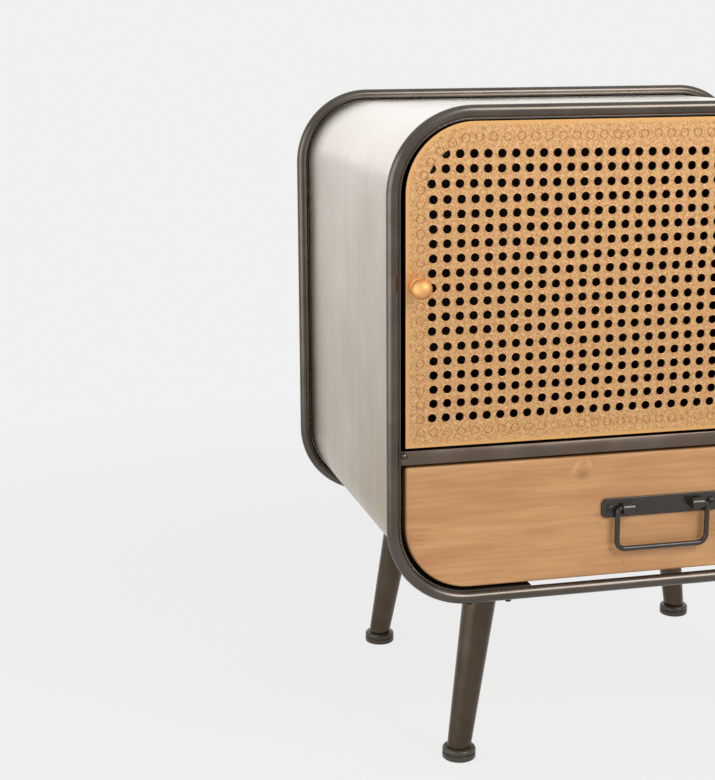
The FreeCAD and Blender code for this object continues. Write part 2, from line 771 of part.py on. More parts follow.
# A hole of which the border leaves less than this share isn't punched
SMALLEST_HOLE_SHARE = 0.1


def hole_wires(y):
    """The punched holes that show inside the border, trimmed where its corners cross them."""
    pitch, radius = size("hole_pitch"), size("hole_diameter / 2")
    half = size("front_half - door_border")
    reach = size("(door_top - door_low) / 2 - door_border")
    bend = size("front_radius - door_border")
    columns = int((half - radius) * 2 // pitch) + 1
    rows = int((reach - radius) * 2 // pitch) + 1
    window = Part.Face(flat_wire(size("door_border"), y))
    wires = []
    for row in range(rows):
        for column in range(columns):
            x = (column - (columns - 1) / 2) * pitch
            rise = (row - (rows - 1) / 2) * pitch
            centre = FreeCAD.Vector(x, y, size("door_middle") + rise)
            ring = Part.Wire(Part.Circle(centre, FreeCAD.Vector(0, 1, 0), radius).toShape())
            past_x, past_z = abs(x) - (half - bend), rise - (reach - bend)
            if min(past_x, past_z) < 0 or math.hypot(past_x, past_z) + radius < bend:
                wires.append(ring)
                continue
            shown = Part.Face(ring).common(window)
            if shown.Area > Part.Face(ring).Area * SMALLEST_HOLE_SHARE:
                wires.append(shown.Faces[0].OuterWire)
    return wires


def build_door():
    y = size("front_y")
    fixing = Part.Circle(FreeCAD.Vector(size("knob_x"), y, size("knob_z")), FreeCAD.Vector(0, 1, 0),
                         size("knob_screw_diameter / 2 + thread_clearance"))
    face = Part.Face([flat_wire(0, y), Part.Wire(fixing.toShape())] + hole_wires(y))
    face.validate()
    panel = doc.addObject("Part::Feature", "door_panel")
    panel.Shape = face.extrude(FreeCAD.Vector(0, size("door_thickness"), 0))
    panel.Placement = FreeCAD.Placement()
    piece(panel)

    rim = doc.addObject("PartDesign::Body", "rim_fold")
    flange = front_sketch(rim, "door_back")
    outline(flange, door_outline("0"))
    outline(flange, door_outline("door_border"))
    pad(rim, flange, "door_rim_wall")
    wall = front_sketch(rim, "door_back")
    outline(wall, door_outline("0"))
    outline(wall, door_outline("door_rim_wall"))
    pad(rim, wall, "door_rim_depth")
    hole = rod("rim_hole", "+y", "knob_screw_diameter + 2 * thread_clearance",
               "door_rim_wall + 2 * cut_overrun", ("knob_x", "door_back - cut_overrun", "knob_z"))
    piece(cut("door_rim", rim, hole))

    knob_at = ("knob_x", "front_y", "knob_z")
    base = rod("knob_base", "-y", "knob_base_diameter", "knob_base_thickness", knob_at)
    neck_length = "knob_projection - knob_diameter / 2"
    neck = rod("knob_neck", "-y", "knob_neck_diameter", neck_length, knob_at)
    ball = doc.addObject("Part::Sphere", "knob_ball")
    ball.setExpression("Radius", formula("knob_diameter / 2"))
    place(ball, "knob_x", f"front_y - ({neck_length})", "knob_z")
    screw_depth = "knob_screw_length - door_thickness - door_rim_wall"
    bore = rod("knob_bore", "-y", "knob_screw_diameter + 2 * thread_clearance",
               f"{screw_depth} + cut_overrun", knob_at)
    piece(cut("door_knob", fuse("knob_turning", base, neck, ball), bore))
    piece(headed_pin("knob_screw", "-y", ("knob_x", "flange_back", "knob_z"),
                     ("knob_screw_diameter", "knob_screw_length"),
                     ("knob_screw_head_diameter", "knob_screw_head_height")))


# Hinges: two leaves with knuckles round a pin


def hinge_leaf(name, base, spans, leaf_x):
    """A leaf with a knuckle on each span of the hinge's height."""
    solids = [block(f"{name}_leaf", leaf_x, ("leaf_start", "leaf_end"), (base, f"{base} + hinge_length"))]
    for low, high in spans:
        z = (f"{base} + {low}", f"{base} + {high}")
        solids.append(rod(f"{name}_knuckle", "+z", "hinge_barrel_diameter", f"({high}) - ({low})",
                          ("hinge_x", "hinge_y", z[0])))
        solids.append(block(f"{name}_web", leaf_x, ("hinge_y", "leaf_start"), z))
    bore = rod(f"{name}_bore", "+z", "hinge_pin_diameter + 2 * thread_clearance",
               "hinge_length + 2 * cut_overrun", ("hinge_x", "hinge_y", f"{base} - cut_overrun"))
    piece(cut(name, fuse(f"{name}_solid", *solids), bore))


def build_hinges():
    third, gap = "hinge_length / 3", "hinge_clearance / 2"
    frame_spans = [("0", f"{third} - {gap}"), (f"2 * {third} + {gap}", "hinge_length")]
    door_spans = [(f"{third} + {gap}", f"2 * {third} - {gap}")]
    pins = []
    for height in ("lower", "upper"):
        base = f"{height}_hinge_z"
        hinge_leaf(f"hinge_frame_leaf_{height}", base, frame_spans,
                   ("inner_half - hinge_leaf_thickness", "inner_half"))
        hinge_leaf(f"hinge_door_leaf_{height}", base, door_spans,
                   ("front_half", "front_half + hinge_leaf_thickness"))
        pins.append(rod("hinge_pin", "+z", "hinge_pin_diameter", "hinge_length",
                        ("hinge_x", "hinge_y", base)))
    piece(group("hinge_pins", pins))


# Magnetic catch on the shelf and its strike on the door


def catch_screw_places():
    return ["catch_x - catch_screw_spacing / 2", "catch_x + catch_screw_spacing / 2"]


def build_catch():
    depth = ("catch_front", "catch_front + catch_depth")
    shell = block("catch_block", ("catch_x - catch_length / 2", "catch_x + catch_length / 2"), depth,
                  ("rail_top", "catch_top"))
    magnet_z = ("(rail_top + catch_top - magnet_height) / 2", "(rail_top + catch_top + magnet_height) / 2")
    magnet_x = ("catch_x - magnet_length / 2", "catch_x + magnet_length / 2")
    recess = block("catch_recess", magnet_x,
                   ("catch_front - cut_overrun", "catch_front + magnet_depth"), magnet_z)
    holes = [rod("catch_hole", "-z", "catch_screw_diameter + 2 * thread_clearance",
                 "catch_height + 2 * cut_overrun", (x, "catch_middle", "catch_top + cut_overrun"))
             for x in catch_screw_places()]
    piece(cut("catch_housing", shell, recess, *holes))
    piece(block("catch_magnet", magnet_x, ("catch_front", "catch_front + magnet_depth"), magnet_z))
    shank = ("catch_screw_diameter", "catch_height + shelf_thickness + catch_screw_tail")
    head = ("catch_screw_head_diameter", "catch_screw_head_height")
    screws = [headed_pin("catch_screw", "-z", (x, "catch_middle", "catch_top"), shank, head)
              for x in catch_screw_places()]
    piece(group("catch_screws", screws))
    piece(block("catch_strike", ("catch_x - strike_length / 2", "catch_x + strike_length / 2"),
                ("rim_back", "strike_back"), ("door_low", "door_low + strike_height")))


def check_and_write():
    """Stop at any failed object, then write one file for each sub-part."""
    doc.recompute()
    for item in doc.Objects:
        if "Invalid" in item.State or "Error" in item.State:
            raise RuntimeError(f"{item.Label} failed: {item.State}")
    for item in parts:
        if item.Shape.isNull() or not item.Shape.isValid() or not item.Shape.Solids:
            raise RuntimeError(f"{item.Label} has no valid solid")
    os.makedirs("parts", exist_ok=True)
    for item in parts:
        item.Shape.exportStep(f"parts/{item.Label}.step")
    print(f"{len(parts)} sub-parts, {sum(len(item.Shape.Solids) for item in parts)} solids")


build_case()
build_legs()
build_slides()
build_drawer()
build_handle()
build_door()
build_hinges()
build_catch()
check_and_write()
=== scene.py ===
# %% [markdown]
# # A nightstand of bent bar, sheet steel, brass and fir
# Two hoops of round bar hold a wrapped sheet case on four splayed legs. A perforated brass door
# swings above a wooden drawer with an iron bail pull. The solid model is already packed, so this
# lesson dresses it: each visible piece is built again with its real edges and finish, in metres,
# in the same frame, and then takes the place of its solid.

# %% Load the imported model
import json
from math import asin, copysign, cos, exp, hypot, pi, radians, sin, tau

import bmesh
import bpy
from mathutils import Matrix, Vector


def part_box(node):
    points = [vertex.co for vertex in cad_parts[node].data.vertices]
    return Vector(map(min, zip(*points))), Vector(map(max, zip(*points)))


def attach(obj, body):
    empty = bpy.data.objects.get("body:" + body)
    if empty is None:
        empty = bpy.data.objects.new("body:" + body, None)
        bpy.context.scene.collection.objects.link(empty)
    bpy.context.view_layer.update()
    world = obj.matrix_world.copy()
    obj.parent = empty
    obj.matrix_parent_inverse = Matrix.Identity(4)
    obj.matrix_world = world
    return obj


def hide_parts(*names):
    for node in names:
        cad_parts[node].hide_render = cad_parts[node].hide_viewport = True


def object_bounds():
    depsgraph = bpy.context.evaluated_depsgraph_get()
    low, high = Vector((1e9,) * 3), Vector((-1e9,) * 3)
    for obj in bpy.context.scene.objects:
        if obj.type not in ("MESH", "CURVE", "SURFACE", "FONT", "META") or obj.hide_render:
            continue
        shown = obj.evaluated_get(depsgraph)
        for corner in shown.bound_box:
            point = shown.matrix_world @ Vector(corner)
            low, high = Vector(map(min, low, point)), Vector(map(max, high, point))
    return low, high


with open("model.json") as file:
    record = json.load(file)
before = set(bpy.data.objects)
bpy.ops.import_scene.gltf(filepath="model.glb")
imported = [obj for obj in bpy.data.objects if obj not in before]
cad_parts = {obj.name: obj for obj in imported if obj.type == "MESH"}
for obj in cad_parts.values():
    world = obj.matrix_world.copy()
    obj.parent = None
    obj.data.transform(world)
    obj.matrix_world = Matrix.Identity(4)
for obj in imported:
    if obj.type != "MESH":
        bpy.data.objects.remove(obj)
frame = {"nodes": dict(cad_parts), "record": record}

MM = 0.001
cad_low, cad_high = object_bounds()
body_of_node = {node: body for body, nodes in frame["record"]["behaviour"]["bodies"].items()
                for node in nodes}

# %% [markdown]
# ## The camera
# A camera can be aimed by eye, or worked out from what is known about the object. Here the door's
# even grid of holes and the two hoops gave the position, the three turns and the focal length, so
# they are typed in. The sensor's 36 mm lie along the image's longer side, which is its height.

# %% Camera at the photograph's viewing angle
IMAGE_HEIGHT = 780
FOCAL_PIXELS = 1607.35
SENSOR_MM = 36
CAMERA_PLACE = Vector((-0.52648, -1.32775, 0.59418))
YAW, PITCH_DOWN, ROLL = radians(13.311), radians(12.594), radians(-0.350)


def link_new(name, data):
    """A new object with this data, linked to the scene."""
    made = bpy.data.objects.new(name, data)
    bpy.context.collection.objects.link(made)
    return made


camera_data = bpy.data.cameras.new("photograph_view")
camera_data.sensor_width = SENSOR_MM
camera_data.lens = FOCAL_PIXELS * SENSOR_MM / IMAGE_HEIGHT
camera = link_new("photograph_view", camera_data)
ahead = Vector((sin(YAW) * cos(PITCH_DOWN), cos(YAW) * cos(PITCH_DOWN), -sin(PITCH_DOWN)))
level = Vector((cos(YAW), -sin(YAW), 0))
upward = level.cross(ahead)
across = level * cos(ROLL) + upward * sin(ROLL)
upward = upward * cos(ROLL) - level * sin(ROLL)
turned_to = Matrix((across, upward, -ahead)).transposed().to_4x4()
camera.matrix_world = Matrix.Translation(CAMERA_PLACE) @ turned_to
bpy.context.scene.camera = camera
bpy.context.scene.view_settings.view_transform = "Standard"
print(f"lens {camera_data.lens:.2f} mm at {tuple(round(v, 3) for v in CAMERA_PLACE)}")

# %% [markdown]
# ## Nodes and colours
# Shader trees and geometry trees are wired alike: a node is added, its settings are chosen, and its
# inputs get a number or a link. One small function does that for every kind of node. Colours are
# written as the sRGB hex values that a colour picker shows, and are turned to linear light once.


# %% One function for nodes, one for colours
def add(tree, kind, inputs=None, **settings):
    """Add a node. An output, or a node for its first one, is linked. Any other value is set."""
    node = tree.nodes.new(kind)
    for name, value in settings.items():
        setattr(node, name, value)
    for key, value in (inputs or {}).items():
        if isinstance(value, bpy.types.Node):
            value = value.outputs[0]
        if isinstance(value, bpy.types.NodeSocket):
            tree.links.new(value, node.inputs[key])
        else:
            node.inputs[key].default_value = value
    return node


def to_linear(hex_colour):
    channels = [int(hex_colour[i:i + 2], 16) / 255 for i in (1, 3, 5)]
    return [c / 12.92 if c <= 0.04045 else ((c + 0.055) / 1.055) ** 2.4 for c in channels] + [1.0]


print("mid grey in linear light:", round(to_linear("#808080")[0], 3))

# %% [markdown]
# ## Floor, background and light
# A product picture stands on a pale sweep under soft boxes. Near the object the floor mixes in some
# plain diffuse white, which keeps the shadow. The rest of its colour is the background's own pale
# grey for camera, mirror and glass rays, so floor and background meet without a line. The world
# gives an even fill, and large panels give the bars their thin bright lines.

# %% Floor and background
PALE_GREY = to_linear("#F0F0F0")
SHADOW_SHARE = 0.08
SHADOW_REACH = (0.5, 1.3)
FILL_STRENGTH = 0.42
FLOOR_REACH, FLOOR_DROP = 14.0, 0.2 * MM


def calc(tree, operation, *values):
    return add(tree, "ShaderNodeMath", dict(enumerate(values)), operation=operation)


def empty_tree(owner):
    """The cleared node tree of a world or a material."""
    owner.use_nodes = True
    owner.node_tree.nodes.clear()
    return owner.node_tree


def metres(tree):
    return add(tree, "ShaderNodeTexCoord").outputs["Object"]


def seen_directly(tree):
    """1 for camera, glossy and transmission rays, 0 for the light that falls on the object."""
    rays = add(tree, "ShaderNodeLightPath").outputs
    either = calc(tree, "MAXIMUM", rays["Is Camera Ray"], rays["Is Glossy Ray"])
    return calc(tree, "MAXIMUM", either, rays["Is Transmission Ray"])


world = bpy.data.worlds.new("pale_studio")
bpy.context.scene.world = world
sky = empty_tree(world)
fill = add(sky, "ShaderNodeBackground", {"Color": (1, 1, 1, 1), "Strength": FILL_STRENGTH})
shown = add(sky, "ShaderNodeBackground", {"Color": PALE_GREY, "Strength": 1.0})
blend = add(sky, "ShaderNodeMixShader", {0: seen_directly(sky), 1: fill, 2: shown})
add(sky, "ShaderNodeOutputWorld", {"Surface": blend})

floor_finish = bpy.data.materials.new("studio_paper")
paper = empty_tree(floor_finish)
matt = add(paper, "ShaderNodeBsdfDiffuse", {"Color": to_linear("#F2F2F2")})
glow = add(paper, "ShaderNodeEmission", {"Color": PALE_GREY, "Strength": 1.0})
away = add(paper, "ShaderNodeVectorMath", {0: metres(paper)}, operation="LENGTH")
fade = (away.outputs["Value"], *SHADOW_REACH, 1 - SHADOW_SHARE, 1.0)
share = add(paper, "ShaderNodeMapRange", dict(enumerate(fade)), interpolation_type="SMOOTHSTEP")
gate = calc(paper, "MULTIPLY", seen_directly(paper), share)
sweep = add(paper, "ShaderNodeMixShader", {0: gate, 1: matt, 2: glow})
add(paper, "ShaderNodeOutputMaterial", {"Surface": sweep})

floor_mesh = bpy.data.meshes.new("floor")
floor_mesh.from_pydata([(x * FLOOR_REACH, y * FLOOR_REACH, cad_low.z - FLOOR_DROP)
                        for x, y in ((-1, -1), (1, -1), (1, 1), (-1, 1))], [], [(0, 1, 2, 3)])
floor_mesh.materials.append(floor_finish)
floor = link_new("floor", floor_mesh)
print("floor and world made")

# %% Soft boxes
SOFT_BOXES = {
    # name: (place, aim, width, height, watts)
    "left_panel": ((-1.12, -0.42, 0.52), (-0.2, -0.16, 0.45), 1.1, 1.0, 6.0),
    "right_panel": ((0.95, -1.80, 1.82), (0, -0.1, 0.35), 1.0, 1.1, 33),
    "rear_panel": ((0.3, 2.6, 1.3), (0, 0, 0.5), 4.6, 1.5, 6.5),
}
for name, (place, aim, width, height, watts) in SOFT_BOXES.items():
    lamp = bpy.data.lights.new(name, "AREA")
    lamp.shape = "RECTANGLE"
    lamp.size, lamp.size_y, lamp.energy = width, height, watts
    box = link_new(name, lamp)
    box.location = place
    box.rotation_euler = (Vector(aim) - Vector(place)).to_track_quat("-Z", "Y").to_euler()
print("soft boxes:", ", ".join(SOFT_BOXES))

# %% [markdown]
# ## Finishes
# Every finish starts from a real material and how its surface was made. The patterns read Object
# coordinates, which are metres here because each piece keeps its place in its mesh, so a pattern's
# grains can be given their real size. Noise stays near the middle of its range, so the part of it
# that a finish uses is stretched over two tones, two degrees of gloss or both.


# %% A finish starts with a tree and ends with a shader
def start_finish(name):
    material = bpy.data.materials.new(name)
    return material, empty_tree(material)


def end_finish(tree, **inputs):
    """The shader of a finish and its output. An input's name has _ for each space."""
    named = {key.replace("_", " "): value for key, value in inputs.items()}
    shader = add(tree, "ShaderNodeBsdfPrincipled", named)
    add(tree, "ShaderNodeOutputMaterial", {"Surface": shader})


def mapped(tree, size, turn, place=(0, 0, 0)):
    """Coordinates that count sizes (x, y, z), turned in the upright plane, from a place."""
    inputs = {"Vector": metres(tree), "Location": place, "Rotation": (0, turn, 0), "Scale": size}
    return add(tree, "ShaderNodeMapping", inputs, vector_type="TEXTURE")


def grains(tree, size, detail=2.0, turn=0.0):
    """Noise whose grains measure size (x, y, z) in millimetres, turned in the upright plane."""
    grid = mapped(tree, [s * MM for s in size], turn)
    return add(tree, "ShaderNodeTexNoise", {"Vector": grid, "Scale": 1.0, "Detail": detail})


def between(tree, share, low_colour, high_colour):
    """A colour between two others. Each is a hex value or another node's output."""
    pair = [to_linear(c) if isinstance(c, str) else c for c in (low_colour, high_colour)]
    mix = add(tree, "ShaderNodeMix", {0: share, 6: pair[0], 7: pair[1]}, data_type="RGBA")
    return mix.outputs[2]


def stretch(tree, value, low, high, to_low=0.0, to_high=1.0):
    return add(tree, "ShaderNodeMapRange", {0: value, 1: low, 2: high, 3: to_low, 4: to_high})


def relief(tree, height, strength, depth):
    """Bump with a depth in millimetres."""
    inputs = {"Strength": strength, "Distance": depth * MM, "Height": height}
    return add(tree, "ShaderNodeBump", inputs)


def axes(tree):
    return add(tree, "ShaderNodeSeparateXYZ", {0: metres(tree)}).outputs


print("helpers for finishes are ready")

# %% [markdown]
# ### Gunmetal lacquer on steel
# The hoops, rail and legs are mild steel, blackened and sealed with a thin satin lacquer. They
# still mirror like a metal, only darker and warmer, which gives the bright lines along the bars.
# Clouding is 25 mm wide, and the orange peel of about half a millimetre is drawn at 1.5 mm so that
# it shows. The legs take a darker copy of the lacquer as painted shade, and the flat rail a lighter
# and rougher copy as painted light.


# %% Gunmetal lacquer
def lacquer(name, dark, light, roughness):
    material, tree = start_finish(name)
    cloud = grains(tree, (25, 25, 25), 3.0)
    peel = grains(tree, (1.5, 1.5, 1.5))
    end_finish(tree, Metallic=1.0, Normal=relief(tree, peel, 0.10, 0.05),
               Base_Color=between(tree, stretch(tree, cloud, 0.35, 0.65), dark, light),
               Roughness=stretch(tree, cloud, 0.3, 0.7, roughness - 0.04, roughness + 0.04))
    return material


gunmetal = lacquer("gunmetal_lacquer", "#564F47", "#615A54", 0.28)
# Painted shade and painted light: darker and lighter copies of the same lacquer, for the legs and
# the rail
dipped_gunmetal = lacquer("dipped_gunmetal", "#4D4236", "#564B40", 0.30)
sprayed_gunmetal = lacquer("sprayed_gunmetal", "#66594F", "#706358", 0.36)
print("finishes:", gunmetal.name, dipped_gunmetal.name, sprayed_gunmetal.name)

# %% [markdown]
# ### Brushed sheet steel under clear lacquer
# The wrapped case is bare sheet steel, brushed upright and sealed with a clear satin lacquer.
# Faint upright streaks are 5 mm wide, clouds 60 mm, and a long shallow wave bends the reflections a
# little. The colour holds painted light and shade: it is darker towards the bottom and the front as
# painted shade, and pale on the top as painted top light.

# %% Brushed sheet
# Painted shade below and painted top light above: the heights in metres where they change, and how
# far the shade leans to the front
PAINTED_SHADE_FROM, PAINTED_SHADE_TO, PAINTED_SHADE_LEAN = 0.20, 0.46, 0.45
PAINTED_TOP_LIGHT_FROM, PAINTED_TOP_LIGHT_TO = 0.46, 0.525
STREAK_SHARE = 0.6
SHEET_RANGE = (0.55, 1.05)

brushed_sheet, tree = start_finish("brushed_sheet")
streak = grains(tree, (5, 5, 220), 4.0)
cloud = grains(tree, (60, 60, 80), 3.0)
mixed = calc(tree, "MULTIPLY_ADD", streak, STREAK_SHARE, cloud)
_, inward, height = axes(tree)
# Painted shade: the colour darkens towards the bottom and the front
painted_light_height = calc(tree, "MULTIPLY_ADD", inward, PAINTED_SHADE_LEAN, height)
painted_light_share = stretch(tree, painted_light_height, PAINTED_SHADE_FROM, PAINTED_SHADE_TO)
colour = between(tree, stretch(tree, mixed, *SHEET_RANGE),
                 between(tree, painted_light_share, "#A4947E", "#CCC1B4"),
                 between(tree, painted_light_share, "#AFA08A", "#D8CEC2"))
# Painted top light: the colour pales to near white on the top
colour = between(tree, stretch(tree, height, PAINTED_TOP_LIGHT_FROM, PAINTED_TOP_LIGHT_TO), colour, "#E6E0D9")
wave = grains(tree, (90, 90, 140), 1.0)
end_finish(tree, Metallic=1.0, Base_Color=colour, Normal=relief(tree, wave, 0.4, 0.9),
           Roughness=stretch(tree, mixed, *SHEET_RANGE, 0.32, 0.25))
print("finish:", brushed_sheet.name)

# %% [markdown]
# ### Engraved brass sheet
# The door is thin brass-plated sheet, engraved all over with a fine scratchy figure. Its glints are
# painted into the colour as small slanted flecks of pale gold, rose and olive among darker ones,
# over the engraving's real bump. Two crossed noises about 1 mm wide make the flecks, and a coarser
# one shifts their hue. A plain band about 2 mm wide is left along the edge.
# Above, it is found from how far a point lies outside the rectangle on whose corners the door's
# round corners are centred. Below, the height is enough.

# %% Engraved brass
PLAIN_BAND, FADE_BEFORE, FADE_AFTER = 2.2 * MM, 2 * MM, 1 * MM
FRONT_BEND = 54.1 * MM
FLECK_RANGE = (0.44, 0.70)

engraved_brass, tree = start_finish("engraved_brass")
flecks = [grains(tree, (4.0, 1.5, 0.8), 1.0, radians(lean)) for lean in (42, -48)]
both = calc(tree, "MAXIMUM", *flecks)
rose = stretch(tree, grains(tree, (1.7, 1.7, 1.7), 1.0), 0.38, 0.62)
# Painted glints: the pale flecks of the figure are light painted into the colour
figure_and_painted_glints = between(tree, stretch(tree, both, *FLECK_RANGE),
                  between(tree, rose, "#B48C56", "#BE865B"),
                  between(tree, rose, "#ECC88B", "#F0BE94"))
aside, _, height = axes(tree)
aside = calc(tree, "ABSOLUTE", aside)
beyond = []
for value, edge in ((aside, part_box("door_panel")[1].x), (height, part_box("door_panel")[1].z)):
    past = calc(tree, "SUBTRACT", value, edge - FRONT_BEND)
    beyond.append(calc(tree, "MAXIMUM", past, 0.0))
corner = add(tree, "ShaderNodeCombineXYZ", dict(enumerate(beyond)))
outward = add(tree, "ShaderNodeVectorMath", {0: corner}, operation="LENGTH").outputs["Value"]
reach = FRONT_BEND - PLAIN_BAND
along_bend = stretch(tree, outward, reach - FADE_BEFORE, reach + FADE_AFTER)
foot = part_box("door_panel")[0].z + PLAIN_BAND
along_foot = stretch(tree, height, foot + FADE_BEFORE, foot - FADE_AFTER)
plain = calc(tree, "MAXIMUM", along_bend, along_foot)
engraving = relief(tree, both, stretch(tree, plain, 0.0, 1.0, 0.35, 0.03), 0.2)
end_finish(tree, Metallic=1.0, Base_Color=between(tree, plain, figure_and_painted_glints, "#E2B173"),
           Roughness=stretch(tree, both, *FLECK_RANGE, 0.60, 0.42), Normal=engraving)
print("finish:", engraved_brass.name)

# %% [markdown]
# ### Darkened and satin brass
# The rings stamped round the door are given a darker brass than the sheet, so they read as brown
# lines. Their tone is uneven over about 3 mm. The knob and hinges are turned and tumbled brass: a
# warm metal with a soft satin sheen, faint handling marks 8 mm wide in its gloss, and a slightly
# deeper tone where it is rubbed less.


# %% Darkened and satin brass
def rubbed_brass(name, grain, detail, dark, light, roughness):
    material, tree = start_finish(name)
    rub = grains(tree, (grain, grain, grain), detail)
    end_finish(tree, Metallic=1.0, Roughness=stretch(tree, rub, 0.3, 0.7, *roughness),
               Base_Color=between(tree, stretch(tree, rub, 0.3, 0.7), dark, light))
    return material


darkened_brass = rubbed_brass("darkened_brass", 3, 3.0, "#A67A4B", "#CE9D69", (0.55, 0.42))
satin_brass = rubbed_brass("satin_brass", 8, 4.0, "#DFA365", "#EDB87D", (0.62, 0.54))
print("finishes:", darkened_brass.name, satin_brass.name)

# %% [markdown]
# ### Fir boards
# The drawer front is flat-sawn fir, waxed to a honey tan. Its growth rings wander along the board
# about 7 mm apart, with fibres of half a millimetre between them, drawn at 0.9 mm so that they
# show. A ring pattern is a sine of the height on the board, so a knot near the top edge only has to
# push that height up around its centre. Knot, pale flecks and smudges are all soft ovals: one over
# e to the power of a distance squared.

# %% Fir
RING_SPACING, RING_WANDER = 7 * MM, 30 * MM
KNOT_PUSH = 8 * MM
KNOT = (-65, 246, 7, 5, 0)
MARKS = {
    # oval (x, z, half length, half width in millimetres, lean in degrees): (colour, share)
    (-65, 246, 4.5, 3.4, 0): ("#8A6138", 0.6),
    (-71, 253, 6.5, 2.0, 60): ("#DDB27C", 0.45),
    (-60, 255, 4, 1.8, -62): ("#DDB27C", 0.4),
    (-52, 211.3, 3.2, 1.0, 0): ("#8A5E3C", 0.5),
    (-52, 204.5, 2.6, 0.9, 0): ("#8A5E3C", 0.4),
    (-28.3, 169.4, 1.0, 1.0, 0): ("#7A5436", 0.6),
    (-201, 210.5, 9, 0.9, 2): ("#8A5E3C", 0.35),
    (-199.5, 205.4, 5, 0.8, 2): ("#8A5E3C", 0.35),
    (-200.4, 202, 6, 1.0, 2): ("#8A5E3C", 0.4),
    (-200.5, 198, 5, 0.8, 2): ("#8A5E3C", 0.3),
    (-208, 204, 3, 10, 0): ("#B0693F", 0.4),
    (-195, 183, 7, 5, 0): ("#C0744A", 0.35),
}
# An oval reaches right through the board, so its size from front to back is large
THROUGH = 10


def oval(tree, x, z, half_length, half_width, lean):
    """1 in the middle of an oval on the board's face, falling softly to 0 outside it."""
    inside = mapped(tree, (half_length * MM, THROUGH, half_width * MM), -radians(lean),
                    (x * MM, 0, z * MM))
    far = add(tree, "ShaderNodeVectorMath", {0: inside, 1: inside}, operation="DOT_PRODUCT")
    return calc(tree, "POWER", exp(-1), far.outputs["Value"])


def fir(name, light, dark, late, marks):
    material, tree = start_finish(name)
    wander = grains(tree, (170, 40, 30), 3.0)
    height = calc(tree, "MULTIPLY_ADD", wander, RING_WANDER, axes(tree)[2])
    if marks:
        height = calc(tree, "MULTIPLY_ADD", oval(tree, *KNOT), KNOT_PUSH, height)
    ring = calc(tree, "SINE", calc(tree, "MULTIPLY", height, tau / RING_SPACING))
    fibre = grains(tree, (26, 2, 0.9))
    patch = grains(tree, (75, 30, 11), 3.0)
    colour = between(tree, stretch(tree, patch, 0.33, 0.67), dark, light)
    colour = between(tree, stretch(tree, ring, -0.2, 1.0, 0.0, 0.17), colour, late)
    colour = between(tree, stretch(tree, fibre, 0.35, 0.75, 0.0, 0.26), colour, late)
    for place, (tone, share) in marks.items():
        spot = stretch(tree, oval(tree, *place), 0.0, 1.0, 0.0, share)
        colour = between(tree, spot, colour, tone)
    end_finish(tree, Roughness=0.5, Base_Color=colour, Normal=relief(tree, fibre, 0.2, 0.08))
    return material


fir_front = fir("waxed_fir", "#CD9C69", "#BD895A", "#A06E45", MARKS)
fir_box = fir("planed_fir", "#D9B88C", "#CCA678", "#B58B60", {})
print("finishes:", fir_front.name, fir_box.name)

# %% [markdown]
# ### Blackened iron
# The drawer pull is wrought iron, blackened in oil and waxed. It is nearly black with brown grey
# wear, and the hammer left dents about 6 mm wide that break up its satin shine a little.

# %% Blackened iron
black_iron, tree = start_finish("blackened_iron")
dent = grains(tree, (6, 6, 6))
scale = grains(tree, (1.2, 1.2, 1.2), 3.0)
end_finish(tree, Base_Color=between(tree, stretch(tree, scale, 0.35, 0.7), "#261F18", "#352D25"),
           Roughness=stretch(tree, scale, 0.3, 0.7, 0.18, 0.27),
           Normal=relief(tree, dent, 0.15, 0.15))
print("finish:", black_iron.name)

# %% [markdown]
# ### Zinc, blackened bolts, primer, nylon and ferrite
# The hidden surfaces have common finishes: zinc plated steel with its spangle 4 mm wide, bolts
# blackened in oil, a near-black dead flat primer inside the case that is painted shade, moulded
# nylon with a fine spark-eroded grain, and dull grey ferrite. The back is a board rolled with
# brown-black paint. They differ in a few numbers only, so one function makes them all from a
# pattern of two tones.


# %% Hardware finishes
def two_tone(name, dark, light, grain, roughness, metallic=0.0, gloss=0.5):
    """A finish of two tones in grains of a size in millimetres. Metal shows crystals."""
    material, tree = start_finish(name)
    spots = add(tree, "ShaderNodeTexVoronoi" if metallic else "ShaderNodeTexNoise",
                {"Vector": metres(tree), "Scale": 1 / (grain * MM)})
    end_finish(tree, Metallic=metallic, Specular_IOR_Level=gloss,
               Base_Color=between(tree, stretch(tree, spots, 0.2, 0.8), dark, light),
               Roughness=stretch(tree, spots, 0.0, 1.0, roughness - 0.06, roughness + 0.06),
               Normal=relief(tree, spots, 0.3, 0.03))
    return material


zinc_plate = two_tone("zinc_plate", "#AEB1B2", "#C9CBCB", 4, 0.38, metallic=1.0)
black_oxide = two_tone("black_oxide", "#1B1A19", "#2E2B29", 2, 0.42)
# Painted shade: a near-black primer inside the case, on the shelf, the door's fold and the runner
# rails
dark_primer = two_tone("dark_primer", "#120F0C", "#1B1713", 3, 0.8, gloss=0.12)
painted_board = two_tone("painted_board", "#2B2620", "#3A332B", 1.5, 0.6)
moulded_nylon = two_tone("moulded_nylon", "#C9C4BA", "#D6D1C7", 0.8, 0.5)
foot_nylon = two_tone("dark_nylon", "#372F27", "#453B31", 0.9, 0.34)
ferrite = two_tone("ferrite", "#2E2C2B", "#3A3837", 1.0, 0.6)
print("finishes now:", len(bpy.data.materials))

# %% [markdown]
# ## Making a piece take the place of its solid
# A finished piece is a mesh at the origin whose points are already in place. It rides the body of
# the solid that it stands for, and the solid is hidden.

# %% Meshes and their places
# An edge is shaded sharp where its faces meet at more than this many degrees
SHARP = 35
SAME_DRAWN, SAME_PACKED = 0.0001 * MM, 0.001 * MM


def merged(mesh, distance):
    """A mesh to work on, in which points closer than a distance are one."""
    work = bmesh.new()
    work.from_mesh(mesh)
    bmesh.ops.remove_doubles(work, verts=work.verts, dist=distance)
    return work


